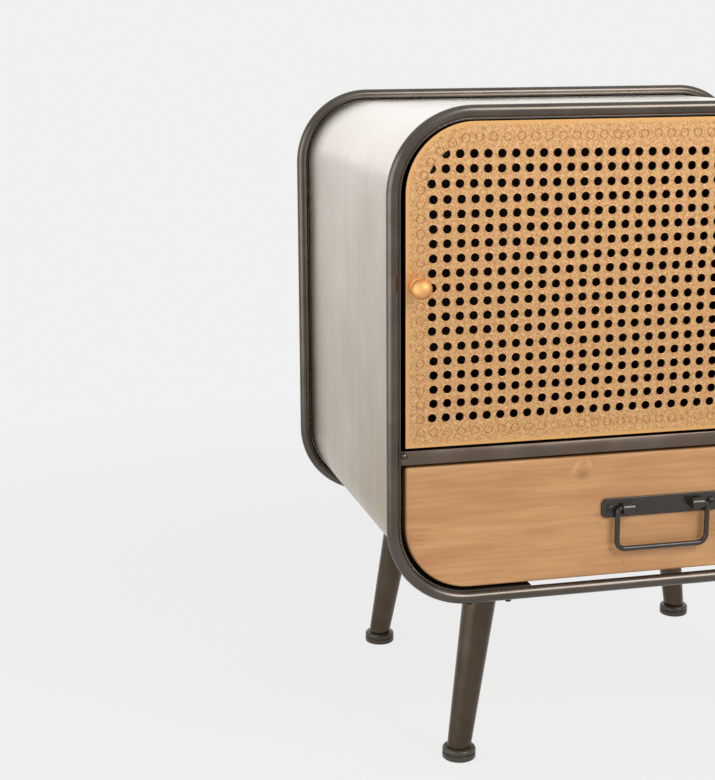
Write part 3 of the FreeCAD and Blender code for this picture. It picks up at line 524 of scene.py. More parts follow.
def new_piece(name, points, faces, material, sharp=SHARP):
    """A mesh object with outward faces, smooth except at edges sharper than an angle."""
    mesh = bpy.data.meshes.new(name)
    mesh.from_pydata(points, [], faces)
    work = merged(mesh, SAME_DRAWN)
    bmesh.ops.recalc_face_normals(work, faces=work.faces)
    work.to_mesh(mesh)
    work.free()
    mesh.materials.append(material)
    return soften(link_new(name, mesh), sharp)


def soften(piece, sharp=SHARP):
    piece.data.shade_smooth()
    piece.data.set_sharp_from_angle(angle=radians(sharp))
    return piece


def bake(piece):
    """Turn what the modifiers show into the piece's own plain mesh."""
    shown = piece.evaluated_get(bpy.context.evaluated_depsgraph_get())
    mesh = bpy.data.meshes.new_from_object(shown)
    piece.modifiers.clear()
    piece.data = mesh
    return piece


def join(piece, others, sharp=SHARP):
    with bpy.context.temp_override(active_object=piece,
                                   selected_editable_objects=[piece, *others]):
        bpy.ops.object.join()
    return soften(piece, sharp)


def stand_for(piece, *nodes):
    """Let a piece ride the body of the solids that it replaces, and hide them."""
    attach(piece, body_of_node[nodes[0]])
    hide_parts(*nodes)
    print(f"{piece.name}: {len(piece.data.polygons)} faces for {', '.join(nodes)}")


print("helpers for pieces are ready")

# %% [markdown]
# ## Bars bent along a path
# The hoops and the bail are round bar, bent cold round a former. A curve with a bevel would do, but
# a node tree says it better: it takes corner points, each with its own bend radius, rounds them and
# sweeps a circle along. The corners are all that has to be drawn.


# %% A tree that bends bar
def start_tree(name, output, **inputs):
    """A geometry tree with named inputs and one geometry output."""
    tree = bpy.data.node_groups.new(name, "GeometryNodeTree")
    for label, kind in inputs.items():
        tree.interface.new_socket(label.replace("_", " "), in_out="INPUT",
                                  socket_type=f"NodeSocket{kind}")
    tree.interface.new_socket(output, in_out="OUTPUT", socket_type="NodeSocketGeometry")
    return tree, add(tree, "NodeGroupInput").outputs


def realized(tree, instances):
    return add(tree, "GeometryNodeRealizeInstances", {0: instances})


def end_tree(tree, geometry, finish):
    inputs = {"Geometry": realized(tree, geometry), "Material": finish}
    add(tree, "NodeGroupOutput", {0: add(tree, "GeometryNodeSetMaterial", inputs)})


def circle(tree, radius, steps):
    return add(tree, "GeometryNodeCurvePrimitiveCircle", {"Resolution": steps, "Radius": radius})


bar_tree, given = start_tree("bent_bar", "Bar", Path="Geometry", Bar_diameter="Float",
                             Bend_steps="Int", Round_steps="Int", Finish="Material")
bend = add(bar_tree, "GeometryNodeInputNamedAttribute", {"Name": "bend"}, data_type="FLOAT")
line = add(bar_tree, "GeometryNodeMeshToCurve", {0: given["Path"]})
fillet = {"Curve": line, "Count": given["Bend steps"], "Radius": bend}
rounded = add(bar_tree, "GeometryNodeFilletCurve", fillet, mode="POLY")
half = calc(bar_tree, "MULTIPLY", given["Bar diameter"], 0.5)
section = circle(bar_tree, half, given["Round steps"])
sweep = {"Curve": rounded, "Profile Curve": section, "Fill Caps": True}
swept = add(bar_tree, "GeometryNodeCurveToMesh", sweep)
end_tree(bar_tree, swept, given["Finish"])
print("tree:", bar_tree.name)


# %% Running a tree on points
def grow(piece, tree, sharp, **sizes):
    """Run a node tree on a piece and keep the result as its plain mesh."""
    modifier = piece.modifiers.new(tree.name, "NODES")
    modifier.node_group = tree
    for item in tree.interface.items_tree:
        key = item.name.replace(" ", "_")
        if item.in_out == "INPUT" and key in sizes:
            modifier[item.identifier] = sizes[key]
    return soften(bake(piece), sharp)


def host(name, points, edges, **attributes):
    """Points and edges for a node tree to work on, with a value for each point."""
    mesh = bpy.data.meshes.new(name)
    mesh.from_pydata(points, edges, [])
    for label, (kind, values) in attributes.items():
        stored = mesh.attributes.new(label, kind, "POINT")
        flat = [v for value in values for v in value] if kind == "FLOAT_VECTOR" else values
        stored.data.foreach_set("vector" if kind == "FLOAT_VECTOR" else "value", flat)
    return link_new(name, mesh)


def loop_edges(count, start=0):
    """The edges of a closed line of points."""
    return [(start + i, start + (i + 1) % count) for i in range(count)]


def bar(name, corners, closed, diameter, finish, bend_steps, round_steps):
    """Bend a bar along corners (x, y, z, bend radius)."""
    runs = loop_edges(len(corners))
    piece = host(name, [corner[:3] for corner in corners], runs if closed else runs[:-1],
                 bend=("FLOAT", [corner[3] for corner in corners]))
    return grow(piece, bar_tree, SHARP, Bar_diameter=diameter, Bend_steps=bend_steps,
                Round_steps=round_steps, Finish=finish)


# %% The two hoops
BAR = 10 * MM
HOOP_BEND = 62.5 * MM

for name, node in (("front_hoop", "front_frame"), ("rear_hoop", "rear_frame")):
    low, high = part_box(node)
    left, right = low.x + BAR / 2, high.x - BAR / 2
    bottom, top = low.z + BAR / 2, high.z - BAR / 2
    corners = [(x, (low.y + high.y) / 2, z, HOOP_BEND)
               for x, z in ((left, bottom), (right, bottom), (right, top), (left, top))]
    stand_for(bar(name, corners, True, BAR, gunmetal, bend_steps=20, round_steps=28), node)

# %% The bail of the drawer pull
BAIL_WIRE = 4.4 * MM
BAIL_NECK, BAIL_BEND = 3.2 * MM, 7 * MM
EYE_INNER = 25 * MM

low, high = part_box("handle_bail")
pull_x, pivot_y = (low.x + high.x) / 2, (low.y + high.y) / 2
arm = (high.x - low.x - BAIL_WIRE) / 2
foot_z, pivot_z = low.z + BAIL_WIRE / 2, high.z - BAIL_WIRE / 2
corners = [(pull_x + aside, pivot_y, z, bend)
           for aside, z, bend in ((-EYE_INNER, pivot_z, 0.0), (-arm, pivot_z, BAIL_NECK),
                                  (-arm, foot_z, BAIL_BEND), (arm, foot_z, BAIL_BEND),
                                  (arm, pivot_z, BAIL_NECK), (EYE_INNER, pivot_z, 0.0))]
bail = bar("pull_bail", corners, False, BAIL_WIRE, black_iron, bend_steps=8, round_steps=20)
stand_for(bail, "handle_bail")

# %% [markdown]
# ## The wrapped sheet
# One sheet of 1 mm steel is wrapped inside the hoops, with a slot left open underneath. It could be
# a thickened surface, but its section is simple: a line with round corners, drawn once on the outer
# face and once on the inner face, and run from front to back. The outside is brushed. The front
# edge takes the hoop's dark lacquer as a painted shade line, and the other edges and the inside
# take a near-black primer as painted shade.

# %% Rounded outlines
SHEET_BEND = 57.4 * MM
SHEET_WALL = 1 * MM
SLOT_HALF = 107.5 * MM
CORNER_STEPS = 18


def rounded_box(left, bottom, right, top, low_bend, top_bend, steps=CORNER_STEPS):
    """A rectangle (x, z) from its lower left corner on. Corners with a bend are rounded."""
    line = []
    for x, z, bend, start in ((left + low_bend, bottom + low_bend, low_bend, 2),
                              (right - low_bend, bottom + low_bend, low_bend, 3),
                              (right - top_bend, top - top_bend, top_bend, 0),
                              (left + top_bend, top - top_bend, top_bend, 1)):
        turns = [pi / 2 * (start + i / steps) for i in range(steps + 1 if bend else 1)]
        line += [(x + bend * cos(t), z + bend * sin(t)) for t in turns]
    return line


def sheet_line(inset):
    """The sheet's section, drawn in by an inset, from one side of the slot to the other."""
    bend, side, bottom = SHEET_BEND - inset, high.x - inset, low.z + inset
    line = rounded_box(-side, bottom, side, high.z - inset, bend, bend)
    corner = CORNER_STEPS + 1
    return [(SLOT_HALF, bottom)] + line[corner:] + line[:corner] + [(-SLOT_HALF, bottom)]


# %% The sheet case
# Painted shade: the front edge is dark lacquer, and the inside, rear edge and slot ends are
# near-black primer
BRUSHED, SHADE_PRIMED, SHADE_LACQUERED = 0, 1, 2

low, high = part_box("case_shell")
outer, inner = sheet_line(0.0), sheet_line(SHEET_WALL)
count = len(outer)
points = [(x, y, z) for y in (low.y, high.y) for line in (outer, inner) for x, z in line]
faces, coats = [], []
for i in range(count - 1):
    # The four lines of points are outer front 0, inner front 1, outer rear 2 and inner rear 3
    for first, second, coat in ((0, 2, BRUSHED), (3, 1, SHADE_PRIMED), (1, 0, SHADE_LACQUERED),
                                (2, 3, SHADE_PRIMED)):
        a, b = first * count + i, second * count + i
        faces.append((a, a + 1, b + 1, b))
        coats.append(coat)
for i in (0, count - 1):
    faces.append((i, count + i, 3 * count + i, 2 * count + i))
    coats.append(SHADE_PRIMED)
case_sheet = new_piece("case_sheet", points, faces, brushed_sheet)
for coat in (dark_primer, gunmetal):
    case_sheet.data.materials.append(coat)
case_sheet.data.polygons.foreach_set("material_index", coats)
stand_for(case_sheet, "case_shell")

# %% [markdown]
# ## Turned and lofted pieces
# Feet, knob, legs and screws are round. Each is a stack of rings joined with faces: a ring has a
# centre, a radius and two axes, and a ring of no size becomes a single point, which closes the end.

# %% A skin over rings
ROUND_STEPS = 48


def full_turn(count):
    return [tau * i / count for i in range(count)]


def turned(name, profile, material, centre=(0, 0, 0), axis=(0, 0, 1), count=ROUND_STEPS,
           sharp=SHARP):
    """A piece turned round an axis. The profile lists (radius, place along it)."""
    centre, axis = Vector(centre), Vector(axis).normalized()
    side = axis.orthogonal().normalized()
    other = axis.cross(side)
    rings = []
    for radius, along in profile:
        middle = centre + axis * along
        rings.append([middle + (side * cos(t) + other * sin(t)) * radius
                      for t in (full_turn(count) if radius > 0 else [0.0])])
    return new_piece(name, *skin(rings), material, sharp)


def skin(rings):
    points, faces, starts = [], [], []
    for ring in rings:
        starts.append(len(points))
        points.extend(ring)
    for lower, upper, a, b in zip(rings, rings[1:], starts, starts[1:]):
        for i, j in loop_edges(max(len(lower), len(upper))):
            if len(lower) == 1:
                faces.append((a, b + i, b + j))
            elif len(upper) == 1:
                faces.append((a + i, a + j, b))
            else:
                faces.append((a + i, a + j, b + j, b + i))
    return points, faces


def quarter_round(radius, along, bend, steps=5):
    """The upper outer corner of a profile, rounded."""
    return [(radius - bend + bend * cos(pi / 2 * i / steps),
             along - bend + bend * sin(pi / 2 * i / steps)) for i in range(steps + 1)]


# %% Legs and feet
LEG_TOP, LEG_FOOT, LEG_RINGS = 29 * MM, 20 * MM, 12
LEG_EASE, LEG_EASE_SHARE = 0.8 * MM, 0.006
FOOT_EDGE, FOOT_HEEL, FOOT_STUD = 2.5 * MM, 0.8 * MM, 3 * MM
GROOVE_LOW, GROOVE_TOP, GROOVE_DEPTH, GROOVE_EASE = 4.6 * MM, 5.8 * MM, 1.0 * MM, 0.3 * MM
CORNERS = ("front_left", "front_right", "rear_left", "rear_right")

for corner in CORNERS:
    foot_low, foot_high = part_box(f"foot_{corner}")
    leg_low, leg_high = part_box(f"leg_{corner}")
    plate_low, plate_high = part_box(f"leg_plate_{corner}")
    foot, top = (Vector(((low.x + high.x) / 2, (low.y + high.y) / 2, z))
                 for low, high, z in ((foot_low, foot_high, leg_low.z),
                                      (plate_low, plate_high, leg_high.z)))
    levels = [(0.0, LEG_EASE), (LEG_EASE_SHARE, 0.0)]
    levels += [(i / LEG_RINGS, 0.0) for i in range(1, LEG_RINGS + 1)]
    rings = [[foot]]
    for share, shrink in levels:
        radius = (LEG_FOOT + (LEG_TOP - LEG_FOOT) * share) / 2 - shrink
        rings.append([foot.lerp(top, share) + Vector((cos(t), sin(t), 0)) * radius
                      for t in full_turn(ROUND_STEPS)])
    # The leg takes the darker copy of the lacquer as painted shade
    leg = new_piece(f"tapered_leg_{corner}", *skin(rings + [[top]]), dipped_gunmetal)
    stand_for(leg, f"leg_{corner}")

    rim = (foot_high.x - foot_low.x) / 2
    rise, tip = leg_low.z - foot_low.z, foot_high.z - foot_low.z
    profile = [(0, 0), (rim - FOOT_HEEL, 0), (rim, FOOT_HEEL), (rim, GROOVE_LOW - GROOVE_EASE),
               (rim - GROOVE_EASE, GROOVE_LOW), (rim - GROOVE_DEPTH, GROOVE_LOW),
               (rim - GROOVE_DEPTH, GROOVE_TOP), (rim - GROOVE_EASE, GROOVE_TOP),
               (rim, GROOVE_TOP + GROOVE_EASE), *quarter_round(rim, rise, FOOT_EDGE),
               (FOOT_STUD, rise), (FOOT_STUD, tip), (0, tip)]
    place = (foot.x, foot.y, foot_low.z)
    stand_for(turned(f"turned_foot_{corner}", profile, foot_nylon, place), f"foot_{corner}")

# %% The door knob
BALL, KNOB_BASE, KNOB_NECK = 16 * MM, 12 * MM, 7 * MM
BASE_RISE, BASE_EASE, NECK_SWEEP = 2 * MM, 0.7 * MM, 1.4 * MM
SWEEP_STEPS, BALL_STEPS, KNOB_STEPS = 5, 24, 56

low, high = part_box("door_knob")
knob_place = ((low.x + high.x) / 2, high.y, (low.z + high.z) / 2)
ball_centre = high.y - low.y - BALL / 2
neck_turn = asin(KNOB_NECK / BALL)
profile = [(0, 0), (KNOB_BASE / 2, 0)] + quarter_round(KNOB_BASE / 2, BASE_RISE, BASE_EASE)
for turn in [pi / 2 * i / SWEEP_STEPS for i in range(SWEEP_STEPS + 1)]:
    profile.append((KNOB_NECK / 2 + NECK_SWEEP * (1 - sin(turn)),
                    BASE_RISE + NECK_SWEEP * (1 - cos(turn))))
for turn in [neck_turn + (pi - neck_turn) * i / BALL_STEPS for i in range(BALL_STEPS)]:
    profile.append((BALL / 2 * sin(turn), ball_centre - BALL / 2 * cos(turn)))
profile.append((0, ball_centre + BALL / 2))
knob = turned("turned_knob", profile, satin_brass, knob_place, (0, -1, 0), KNOB_STEPS)
stand_for(knob, "door_knob")

# %% [markdown]
# ## Boards and plates with eased edges
# The drawer front and the pull's plate are flat outlines with a thickness. An outline is extruded
# and a Bevel modifier eases its edges, because no real board or plate has a perfectly sharp one.


# %% Slabs
def ease_edges(piece, width, steps, angle):
    bevel = piece.modifiers.new("eased_edges", "BEVEL")
    bevel.width, bevel.segments, bevel.limit_method = width, steps, "ANGLE"
    bevel.angle_limit = radians(angle)
    bevel.harden_normals = True
    return bake(piece)


def slab(name, outline, front, back, material, ease, steps=3):
    """An upright outline (x, z) thickened from front to back, with its edges eased."""
    count = len(outline)
    points = [(x, y, z) for y in (front, back) for x, z in outline]
    faces = [tuple(range(count)), tuple(range(2 * count - 1, count - 1, -1))]
    faces += [(i, j, count + j, count + i) for i, j in loop_edges(count)]
    return ease_edges(new_piece(name, points, faces, material), ease, steps, angle=50)


# %% The drawer front
BOARD_EASE, BOARD_STEPS = 2.0 * MM, 5

low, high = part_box("drawer_front")
board_line = rounded_box(low.x, low.z, high.x, high.z, FRONT_BEND, 0)
board = slab("drawer_board", board_line, low.y, high.y, fir_front, BOARD_EASE, BOARD_STEPS)
stand_for(board, "drawer_front")

# %% The pull's plate and its rolled eyes
PLATE_CORNER, PLATE_HALF, PLATE_WALL, PLATE_EASE = 4.5 * MM, 8 * MM, 2 * MM, 0.6 * MM
EYE, EYE_BORE, EYE_LENGTH = 9 * MM, 4.56 * MM, 10.4 * MM
EYE_EASE, BORE_EASE = 0.5 * MM, 0.2 * MM
PLATE_STEPS, EYE_STEPS = 8, 40

low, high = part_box("handle_plate")
plate_line = rounded_box(low.x, pivot_z - PLATE_HALF, high.x, pivot_z + PLATE_HALF,
                         PLATE_CORNER, PLATE_CORNER, PLATE_STEPS)
plate = slab("pull_plate", plate_line, high.y - PLATE_WALL, high.y, black_iron, PLATE_EASE)
wall = [(EYE_BORE / 2, BORE_EASE), (EYE / 2 - EYE_EASE, 0), (EYE / 2, EYE_EASE),
        (EYE / 2, EYE_LENGTH - EYE_EASE), (EYE / 2 - EYE_EASE, EYE_LENGTH),
        (EYE_BORE / 2, EYE_LENGTH - BORE_EASE)]
eyes = []
for side in (-1, 1):
    place = (pull_x + side * EYE_INNER, pivot_y, pivot_z)
    eyes.append(turned(f"eye_{side}", wall + wall[:1], black_iron, place, (side, 0, 0), EYE_STEPS))
stand_for(join(plate, eyes), "handle_plate")

# %% [markdown]
# ## The perforated door
# The door's sheet was punched on a square grid, a block of rows at a time, and the blocks don't
# quite line up. Cutting 663 holes with booleans would be slow. A node tree does what the punch
# does: it draws the outline and a circle at each punch point as curves, fills between them once,
# and gives the fill a thickness. A raised lip round each hole is the metal that the punch dragged.
# The corner holes that the border cuts are drawn as part of the outline.

# %% A tree that punches sheet
LIP_STEPS = 6


def joined(tree, *parts):
    whole = add(tree, "GeometryNodeJoinGeometry")
    for part in parts:
        tree.links.new(part.outputs[0], whole.inputs[0])
    return whole


def stand_up(tree, given, geometry):
    """Turn what was drawn flat upright, to the given front and middle height."""
    spot = add(tree, "ShaderNodeCombineXYZ", {1: given["Front"], 2: given["Middle height"]})
    move = {"Geometry": geometry, "Translation": spot, "Rotation": (pi / 2, 0, 0)}
    return add(tree, "GeometryNodeTransform", move)


tree, given = start_tree("punched_sheet", "Sheet", Outline="Geometry", Hole_diameter="Float",
                         Hole_steps="Int", Middle_height="Float", Front="Float",
                         Thickness="Float", Lip="Float", Finish="Material")
mark = add(tree, "GeometryNodeInputNamedAttribute", {"Name": "punch"}, data_type="BOOLEAN")
drawing = {"Geometry": given["Outline"], "Selection": mark}
parted = add(tree, "GeometryNodeSeparateGeometry", drawing, domain="POINT")
radius = calc(tree, "MULTIPLY", given["Hole diameter"], 0.5)
ring = circle(tree, radius, given["Hole steps"])
rings = add(tree, "GeometryNodeInstanceOnPoints", {"Points": parted, "Instance": ring})
edge = add(tree, "GeometryNodeMeshToCurve", {0: parted.outputs["Inverted"]})
drawn = joined(tree, edge, realized(tree, rings))
face = add(tree, "GeometryNodeFillCurve", {0: drawn}, mode="TRIANGLES")
depth = calc(tree, "MULTIPLY", given["Thickness"], -1.0)
push = {"Mesh": face, "Offset Scale": depth, "Individual": False}
thick = add(tree, "GeometryNodeExtrudeMesh", push)
lip_line = circle(tree, calc(tree, "ADD", radius, given["Lip"]), given["Hole steps"])
lip_section = circle(tree, given["Lip"], LIP_STEPS)
lip = add(tree, "GeometryNodeCurveToMesh", {"Curve": lip_line, "Profile Curve": lip_section})
lips = add(tree, "GeometryNodeInstanceOnPoints", {"Points": parted, "Instance": lip})
flat = joined(tree, realized(tree, lips), thick, face)
whole = add(tree, "GeometryNodeMergeByDistance", {"Geometry": flat, "Distance": SAME_PACKED})
end_tree(tree, stand_up(tree, given, whole), given["Finish"])
punch_tree = tree
print("tree:", punch_tree.name, "with", len(punch_tree.nodes), "nodes")

# %% Where the punch struck
COLUMN_PITCH, ROW_PITCH, HOLE, LIP = 11.1 * MM, 11.2 * MM, 6.95 * MM, 0.3 * MM
COLUMNS, ROWS = 35, 19
PUNCH_BLOCKS = {
    # first row of the block: (slip to the side, slip in height, drop per column) in millimetres
    0: (-3.3, -1.45, 0.12),
    3: (-1.9, -1.2, 0.065),
    8: (-2.6, -1.15, 0.06),
    13: (-1.15, -1.4, 0.01),
    18: (-2.15, -1.45, 0.005),
}
# The border is this wide, and its round corner cuts the first holes at each top corner
BORDER = 14.9 * MM
EDGE_STEPS, CUT_STEPS, HOLE_STEPS = 24, 48, 18
DOOR_SHARP = 65

low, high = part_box("door_panel")
middle = (low.z + high.z) / 2
half, rise = (high.x - low.x) / 2, (high.z - low.z) / 2


def door_line(inset, steps):
    """The door's edge, drawn in by an inset: square below, round at the top corners."""
    side, end = half - inset, rise - inset
    return rounded_box(-side, -end, side, end, 0, FRONT_BEND - inset, steps)


def punch_place(column, row):
    aside, up, drop = PUNCH_BLOCKS[max(first for first in PUNCH_BLOCKS if first <= row)]
    steps = column - (COLUMNS - 1) / 2
    return (steps * COLUMN_PITCH + aside * MM,
            ((ROWS - 1) / 2 - row) * ROW_PITCH + (up - drop * steps) * MM)


def clipped_hole(column, row):
    """What the border's round corner leaves of a hole."""
    x, z = punch_place(column, row)
    corner = Vector((copysign(half - FRONT_BEND, x), rise - FRONT_BEND))
    line = []
    for turn in full_turn(CUT_STEPS):
        away = Vector((x + HOLE / 2 * cos(turn), z + HOLE / 2 * sin(turn))) - corner
        line.append(tuple(corner + away * min(1.0, (FRONT_BEND - BORDER) / away.length)))
    return line


last = COLUMNS - 1
cut_holes = [(1, 0), (0, 1), (last - 1, 0), (last, 1)]
points, edges = [], []
for loop in [door_line(0.0, EDGE_STEPS)] + [clipped_hole(*hole) for hole in cut_holes]:
    edges += loop_edges(len(loop), len(points))
    points += [(x, z, 0.0) for x, z in loop]
outline_points = len(points)
points += [(*punch_place(column, row), 0.0) for row in range(ROWS) for column in range(COLUMNS)
           if (column, row) not in [(0, 0), (last, 0), *cut_holes]]
punched = [i >= outline_points for i in range(len(points))]
door_sheet = host("punched_door", points, edges, punch=("BOOLEAN", punched))
grow(door_sheet, punch_tree, DOOR_SHARP, Hole_diameter=HOLE, Hole_steps=HOLE_STEPS,
     Middle_height=middle, Front=low.y, Thickness=high.y - low.y, Lip=LIP, Finish=engraved_brass)
print("punched", sum(punched) + len(cut_holes), "holes,", len(door_sheet.data.polygons), "faces")

# %% [markdown]
# ### The stamped border
# A traditional row of rings is stamped along the border, one ring for each column and row of holes,
# with a row of pearls outside it. Rings could be drawn in the finish, but raised ones catch the
# light on one side and shade on the other. A node tree walks along a line and sets a stamp at each
# step.


# %% A tree that sets stamps along a line
def copies_of(tree, template, points, **more):
    shape = add(tree, "GeometryNodeObjectInfo", {"Object": template}).outputs["Geometry"]
    return add(tree, "GeometryNodeInstanceOnPoints", {"Points": points, "Instance": shape, **more})


stamp_tree, given = start_tree("stamped_border", "Border", Line="Geometry", Step="Float",
                               Stamp="Object", Middle_height="Float", Front="Float",
                               Finish="Material")
track = add(stamp_tree, "GeometryNodeMeshToCurve", {0: given["Line"]})
stops = add(stamp_tree, "GeometryNodeResampleCurve", {"Curve": track, "Length": given["Step"]},
            mode="LENGTH")
copies = copies_of(stamp_tree, given["Stamp"], stops)
end_tree(stamp_tree, stand_up(stamp_tree, given, copies), given["Finish"])
print("tree:", stamp_tree.name)

# %% Rings, pearls and border
RING, RING_WIRE, RING_INSET = 6.3 * MM, 0.42 * MM, 11.7 * MM
PEARL, PEARL_INSET = 0.9 * MM, 4.0 * MM
PEARL_RISE, PEARL_FOOT, PEARL_TURNS = PEARL * 0.5, PEARL * 0.24, (-0.5, 0.0, 0.5, 1.0)
WIRE_STEPS, LINE_STEPS, STAMP_SHARP = 6, 16, 70

ring_line = [(RING / 2 + RING_WIRE * cos(t), RING_WIRE * sin(t))
             for t in full_turn(WIRE_STEPS) + [tau]]
pearl_line = [(PEARL * cos(t), PEARL_RISE * sin(t)) for t in PEARL_TURNS]
pearl_line = [(0, -PEARL_FOOT)] + pearl_line + [(0, PEARL_RISE)]
rows = []
for name, profile, count, inset, finish in (
        ("ring_row", ring_line, 18, RING_INSET, darkened_brass),
        ("pearl_row", pearl_line, 10, PEARL_INSET, engraved_brass)):
    stamp = turned("stamp", profile, finish, count=count, sharp=STAMP_SHARP)
    line = door_line(inset, LINE_STEPS)
    row = host(name, [(x, z, 0.0) for x, z in line], loop_edges(len(line)))
    rows.append(grow(row, stamp_tree, DOOR_SHARP, Step=COLUMN_PITCH, Stamp=stamp,
                     Middle_height=middle, Front=low.y, Finish=finish))
    bpy.data.objects.remove(stamp)
    print(f"{name}: {len(row.data.polygons)} faces")
stand_for(join(door_sheet, rows, DOOR_SHARP), "door_panel")

# %% [markdown]
# ## Screws, bolts, nuts and rivets
# Fasteners repeat, so one template of each kind is set on points by a node tree. The points come
# from the solids: a solid's own box gives its place, and its wider end is the head.

# %% Where the solids' fasteners are
HEAD_SHARE, HEAD_LEAST, HEAD_CLEAR = 0.9, 0.25, 0.05 * MM


def solids_of(node):
    """The separate solids of a node: for each, the points that hang together."""
    work = merged(frame["nodes"][node].data, SAME_PACKED)
    met, groups = set(), []
    for first in work.verts:
        if first in met:
            continue
        met.add(first)
        waiting, group = [first], []
        while waiting:
            vertex = waiting.pop()
            group.append(vertex.co.copy())
            for link in vertex.link_edges:
                other = link.other_vert(vertex)
                if other not in met:
                    met.add(other)
                    waiting.append(other)
        groups.append(group)
    work.free()
    return groups


def measure(points, axis):
    """Head's end, aim from there to the tip, length, head radius, head height and shank radius."""
    low, high = ([pick(p[i] for p in points) for i in range(3)] for pick in (min, max))
    centre = [(a + b) / 2 for a, b in zip(low, high)]
    one, two = [i for i in range(3) if i != axis]
    spread = [(hypot(p[one] - centre[one], p[two] - centre[two]), p[axis]) for p in points]
    wide = max(radius for radius, _ in spread)
    head = [along for radius, along in spread if radius > HEAD_SHARE * wide]
    head_low = min(head) - low[axis] < high[axis] - max(head)
    end = low[axis] if head_low else high[axis]
    rise = max(abs(along - end) for along in head)
    shank = max((radius for radius, along in spread if abs(along - end) > rise + HEAD_CLEAR),
                default=wide)
    start, aim = Vector(centre), Vector((0, 0, 0))
    start[axis], aim[axis] = end, 1.0 if head_low else -1.0
    return start, aim, high[axis] - low[axis], wide, max(rise, wide * HEAD_LEAST), shank


for node, axis in (("handle_screws", 1), ("leg_bolts", 2)):
    found = [measure(points, axis) for points in solids_of(node)]
    sizes = [round(v / MM, 2) for v in found[0][2:]]
    print(node, len(found), "first:", sizes, tuple(found[0][1]))

# %% A tree that sets fasteners
tree, given = start_tree("set_fasteners", "Fasteners", Places="Geometry", Template="Object",
                         Finish="Material")
aim = add(tree, "GeometryNodeInputNamedAttribute", {"Name": "aim"}, data_type="FLOAT_VECTOR")
turn = add(tree, "FunctionNodeAlignRotationToVector", {"Vector": aim}, axis="Z")
copies = copies_of(tree, given["Template"], given["Places"], Rotation=turn)
end_tree(tree, copies, given["Finish"])
fastener_tree = tree


def set_fasteners(node, spots, material, template, sharp=SHARP):
    """Set a template on spots, of which the first two values are place and aim."""
    piece = host(f"set_{node}", [spot[0] for spot in spots], [],
                 aim=("FLOAT_VECTOR", [spot[1] for spot in spots]))
    grow(piece, fastener_tree, sharp, Template=template, Finish=material)
    bpy.data.objects.remove(template)
    stand_for(piece, node)


print("tree:", fastener_tree.name)

# %% Screws and rivets
SCREWS = {
    # node: (axis, finish, with a slot)
    "handle_screws": (1, black_oxide, True),
    "front_screws": (1, zinc_plate, True),
    "slide_screws": (0, zinc_plate, True),
    "catch_screws": (2, zinc_plate, True),
    "knob_screw": (1, zinc_plate, True),
    "slide_rivets": (0, zinc_plate, False),
}
DOME_TURNS, DOME_SHARE = (0.5, 1.0, 1.35, pi / 2), 0.75
TIP_SHARE, SCREW_STEPS = 0.35, 24
# Half length and half width of a slot as shares of the head's radius, depth as one of its height
CUT_LONG, CUT_WIDE, CUT_DEEP = 1.2, 0.13, 0.55
BOX_FACES = [(0, 1, 3, 2), (4, 6, 7, 5), (0, 4, 5, 1), (2, 3, 7, 6), (0, 2, 6, 4), (1, 5, 7, 3)]


def headed(length, head, rise, shank, material, slotted):
    """A domed head on a plain shank with a pointed tip: head at the origin, tip along +Z."""
    dome = [(head * sin(t), rise * DOME_SHARE * (1 - cos(t))) for t in DOME_TURNS]
    profile = [(0, 0), *dome, (head, rise), (shank, rise), (shank, length - shank),
               (shank * TIP_SHARE, length), (0, length)]
    piece = turned("template", profile, material, count=SCREW_STEPS)
    if slotted:
        box = [(x * head * CUT_LONG, y * head * CUT_WIDE, z)
               for x in (-1, 1) for y in (-1, 1) for z in (-rise, rise * CUT_DEEP)]
        cutter = new_piece("slot", box, BOX_FACES, material)
        groove = piece.modifiers.new("slot", "BOOLEAN")
        groove.object, groove.operation, groove.solver = cutter, "DIFFERENCE", "EXACT"
        soften(bake(piece))
        bpy.data.objects.remove(cutter)
    return piece


for node, (axis, material, slotted) in SCREWS.items():
    found = [measure(points, axis) for points in solids_of(node)]
    set_fasteners(node, found, material, headed(*found[0][2:], material, slotted))

# %% Bolts and nuts of the legs
THREAD, THREAD_DEPTH, PLAIN_SHANK, CUT_BACK = 1.0 * MM, 0.45 * MM, 4 * MM, 2 * MM
SIDES, SIDE_STEPS, HEX_SHARP = 6, 4, 30
# The chamfer's round as a share of the radius, its height as one of the head's or the nut's
CHAMFER, HEAD_CHAMFER, NUT_CHAMFER = 0.85, 0.2, 0.15
BOLT_TIP, NUT_PLAY = 0.75, 0.1 * MM


def hexagon(radius, along):
    """A hexagon's outline with a few steps to a side, so that it can be joined to round rings."""
    corners = [Vector((cos(t), sin(t), 0)) * radius for t in full_turn(SIDES) + [tau]]
    return [corners[i].lerp(corners[i + 1], step / SIDE_STEPS) + Vector((0, 0, along))
            for i in range(SIDES) for step in range(SIDE_STEPS)]


def round_ring(radius, along):
    return [point.normalized() * radius + Vector((0, 0, along)) for point in hexagon(1, 0)]


bolts = [measure(points, 2) for points in solids_of("leg_bolts")]
length, head, rise, shank = bolts[0][2:]
length -= CUT_BACK
threaded = rise + PLAIN_SHANK
rings = [[Vector((0, 0, 0))], round_ring(head * CHAMFER, 0), hexagon(head, rise * HEAD_CHAMFER),
         hexagon(head, rise), round_ring(shank, rise), round_ring(shank, threaded)]
for i in range(int((length - threaded - shank / 2) / THREAD)):
    rings += [round_ring(shank - THREAD_DEPTH, threaded + (i + 0.5) * THREAD),
              round_ring(shank, threaded + (i + 1) * THREAD)]
rings += [round_ring(shank * BOLT_TIP, length), [Vector((0, 0, length))]]
template = new_piece("bolt", *skin(rings), black_oxide, HEX_SHARP)
set_fasteners("leg_bolts", bolts, black_oxide, template)

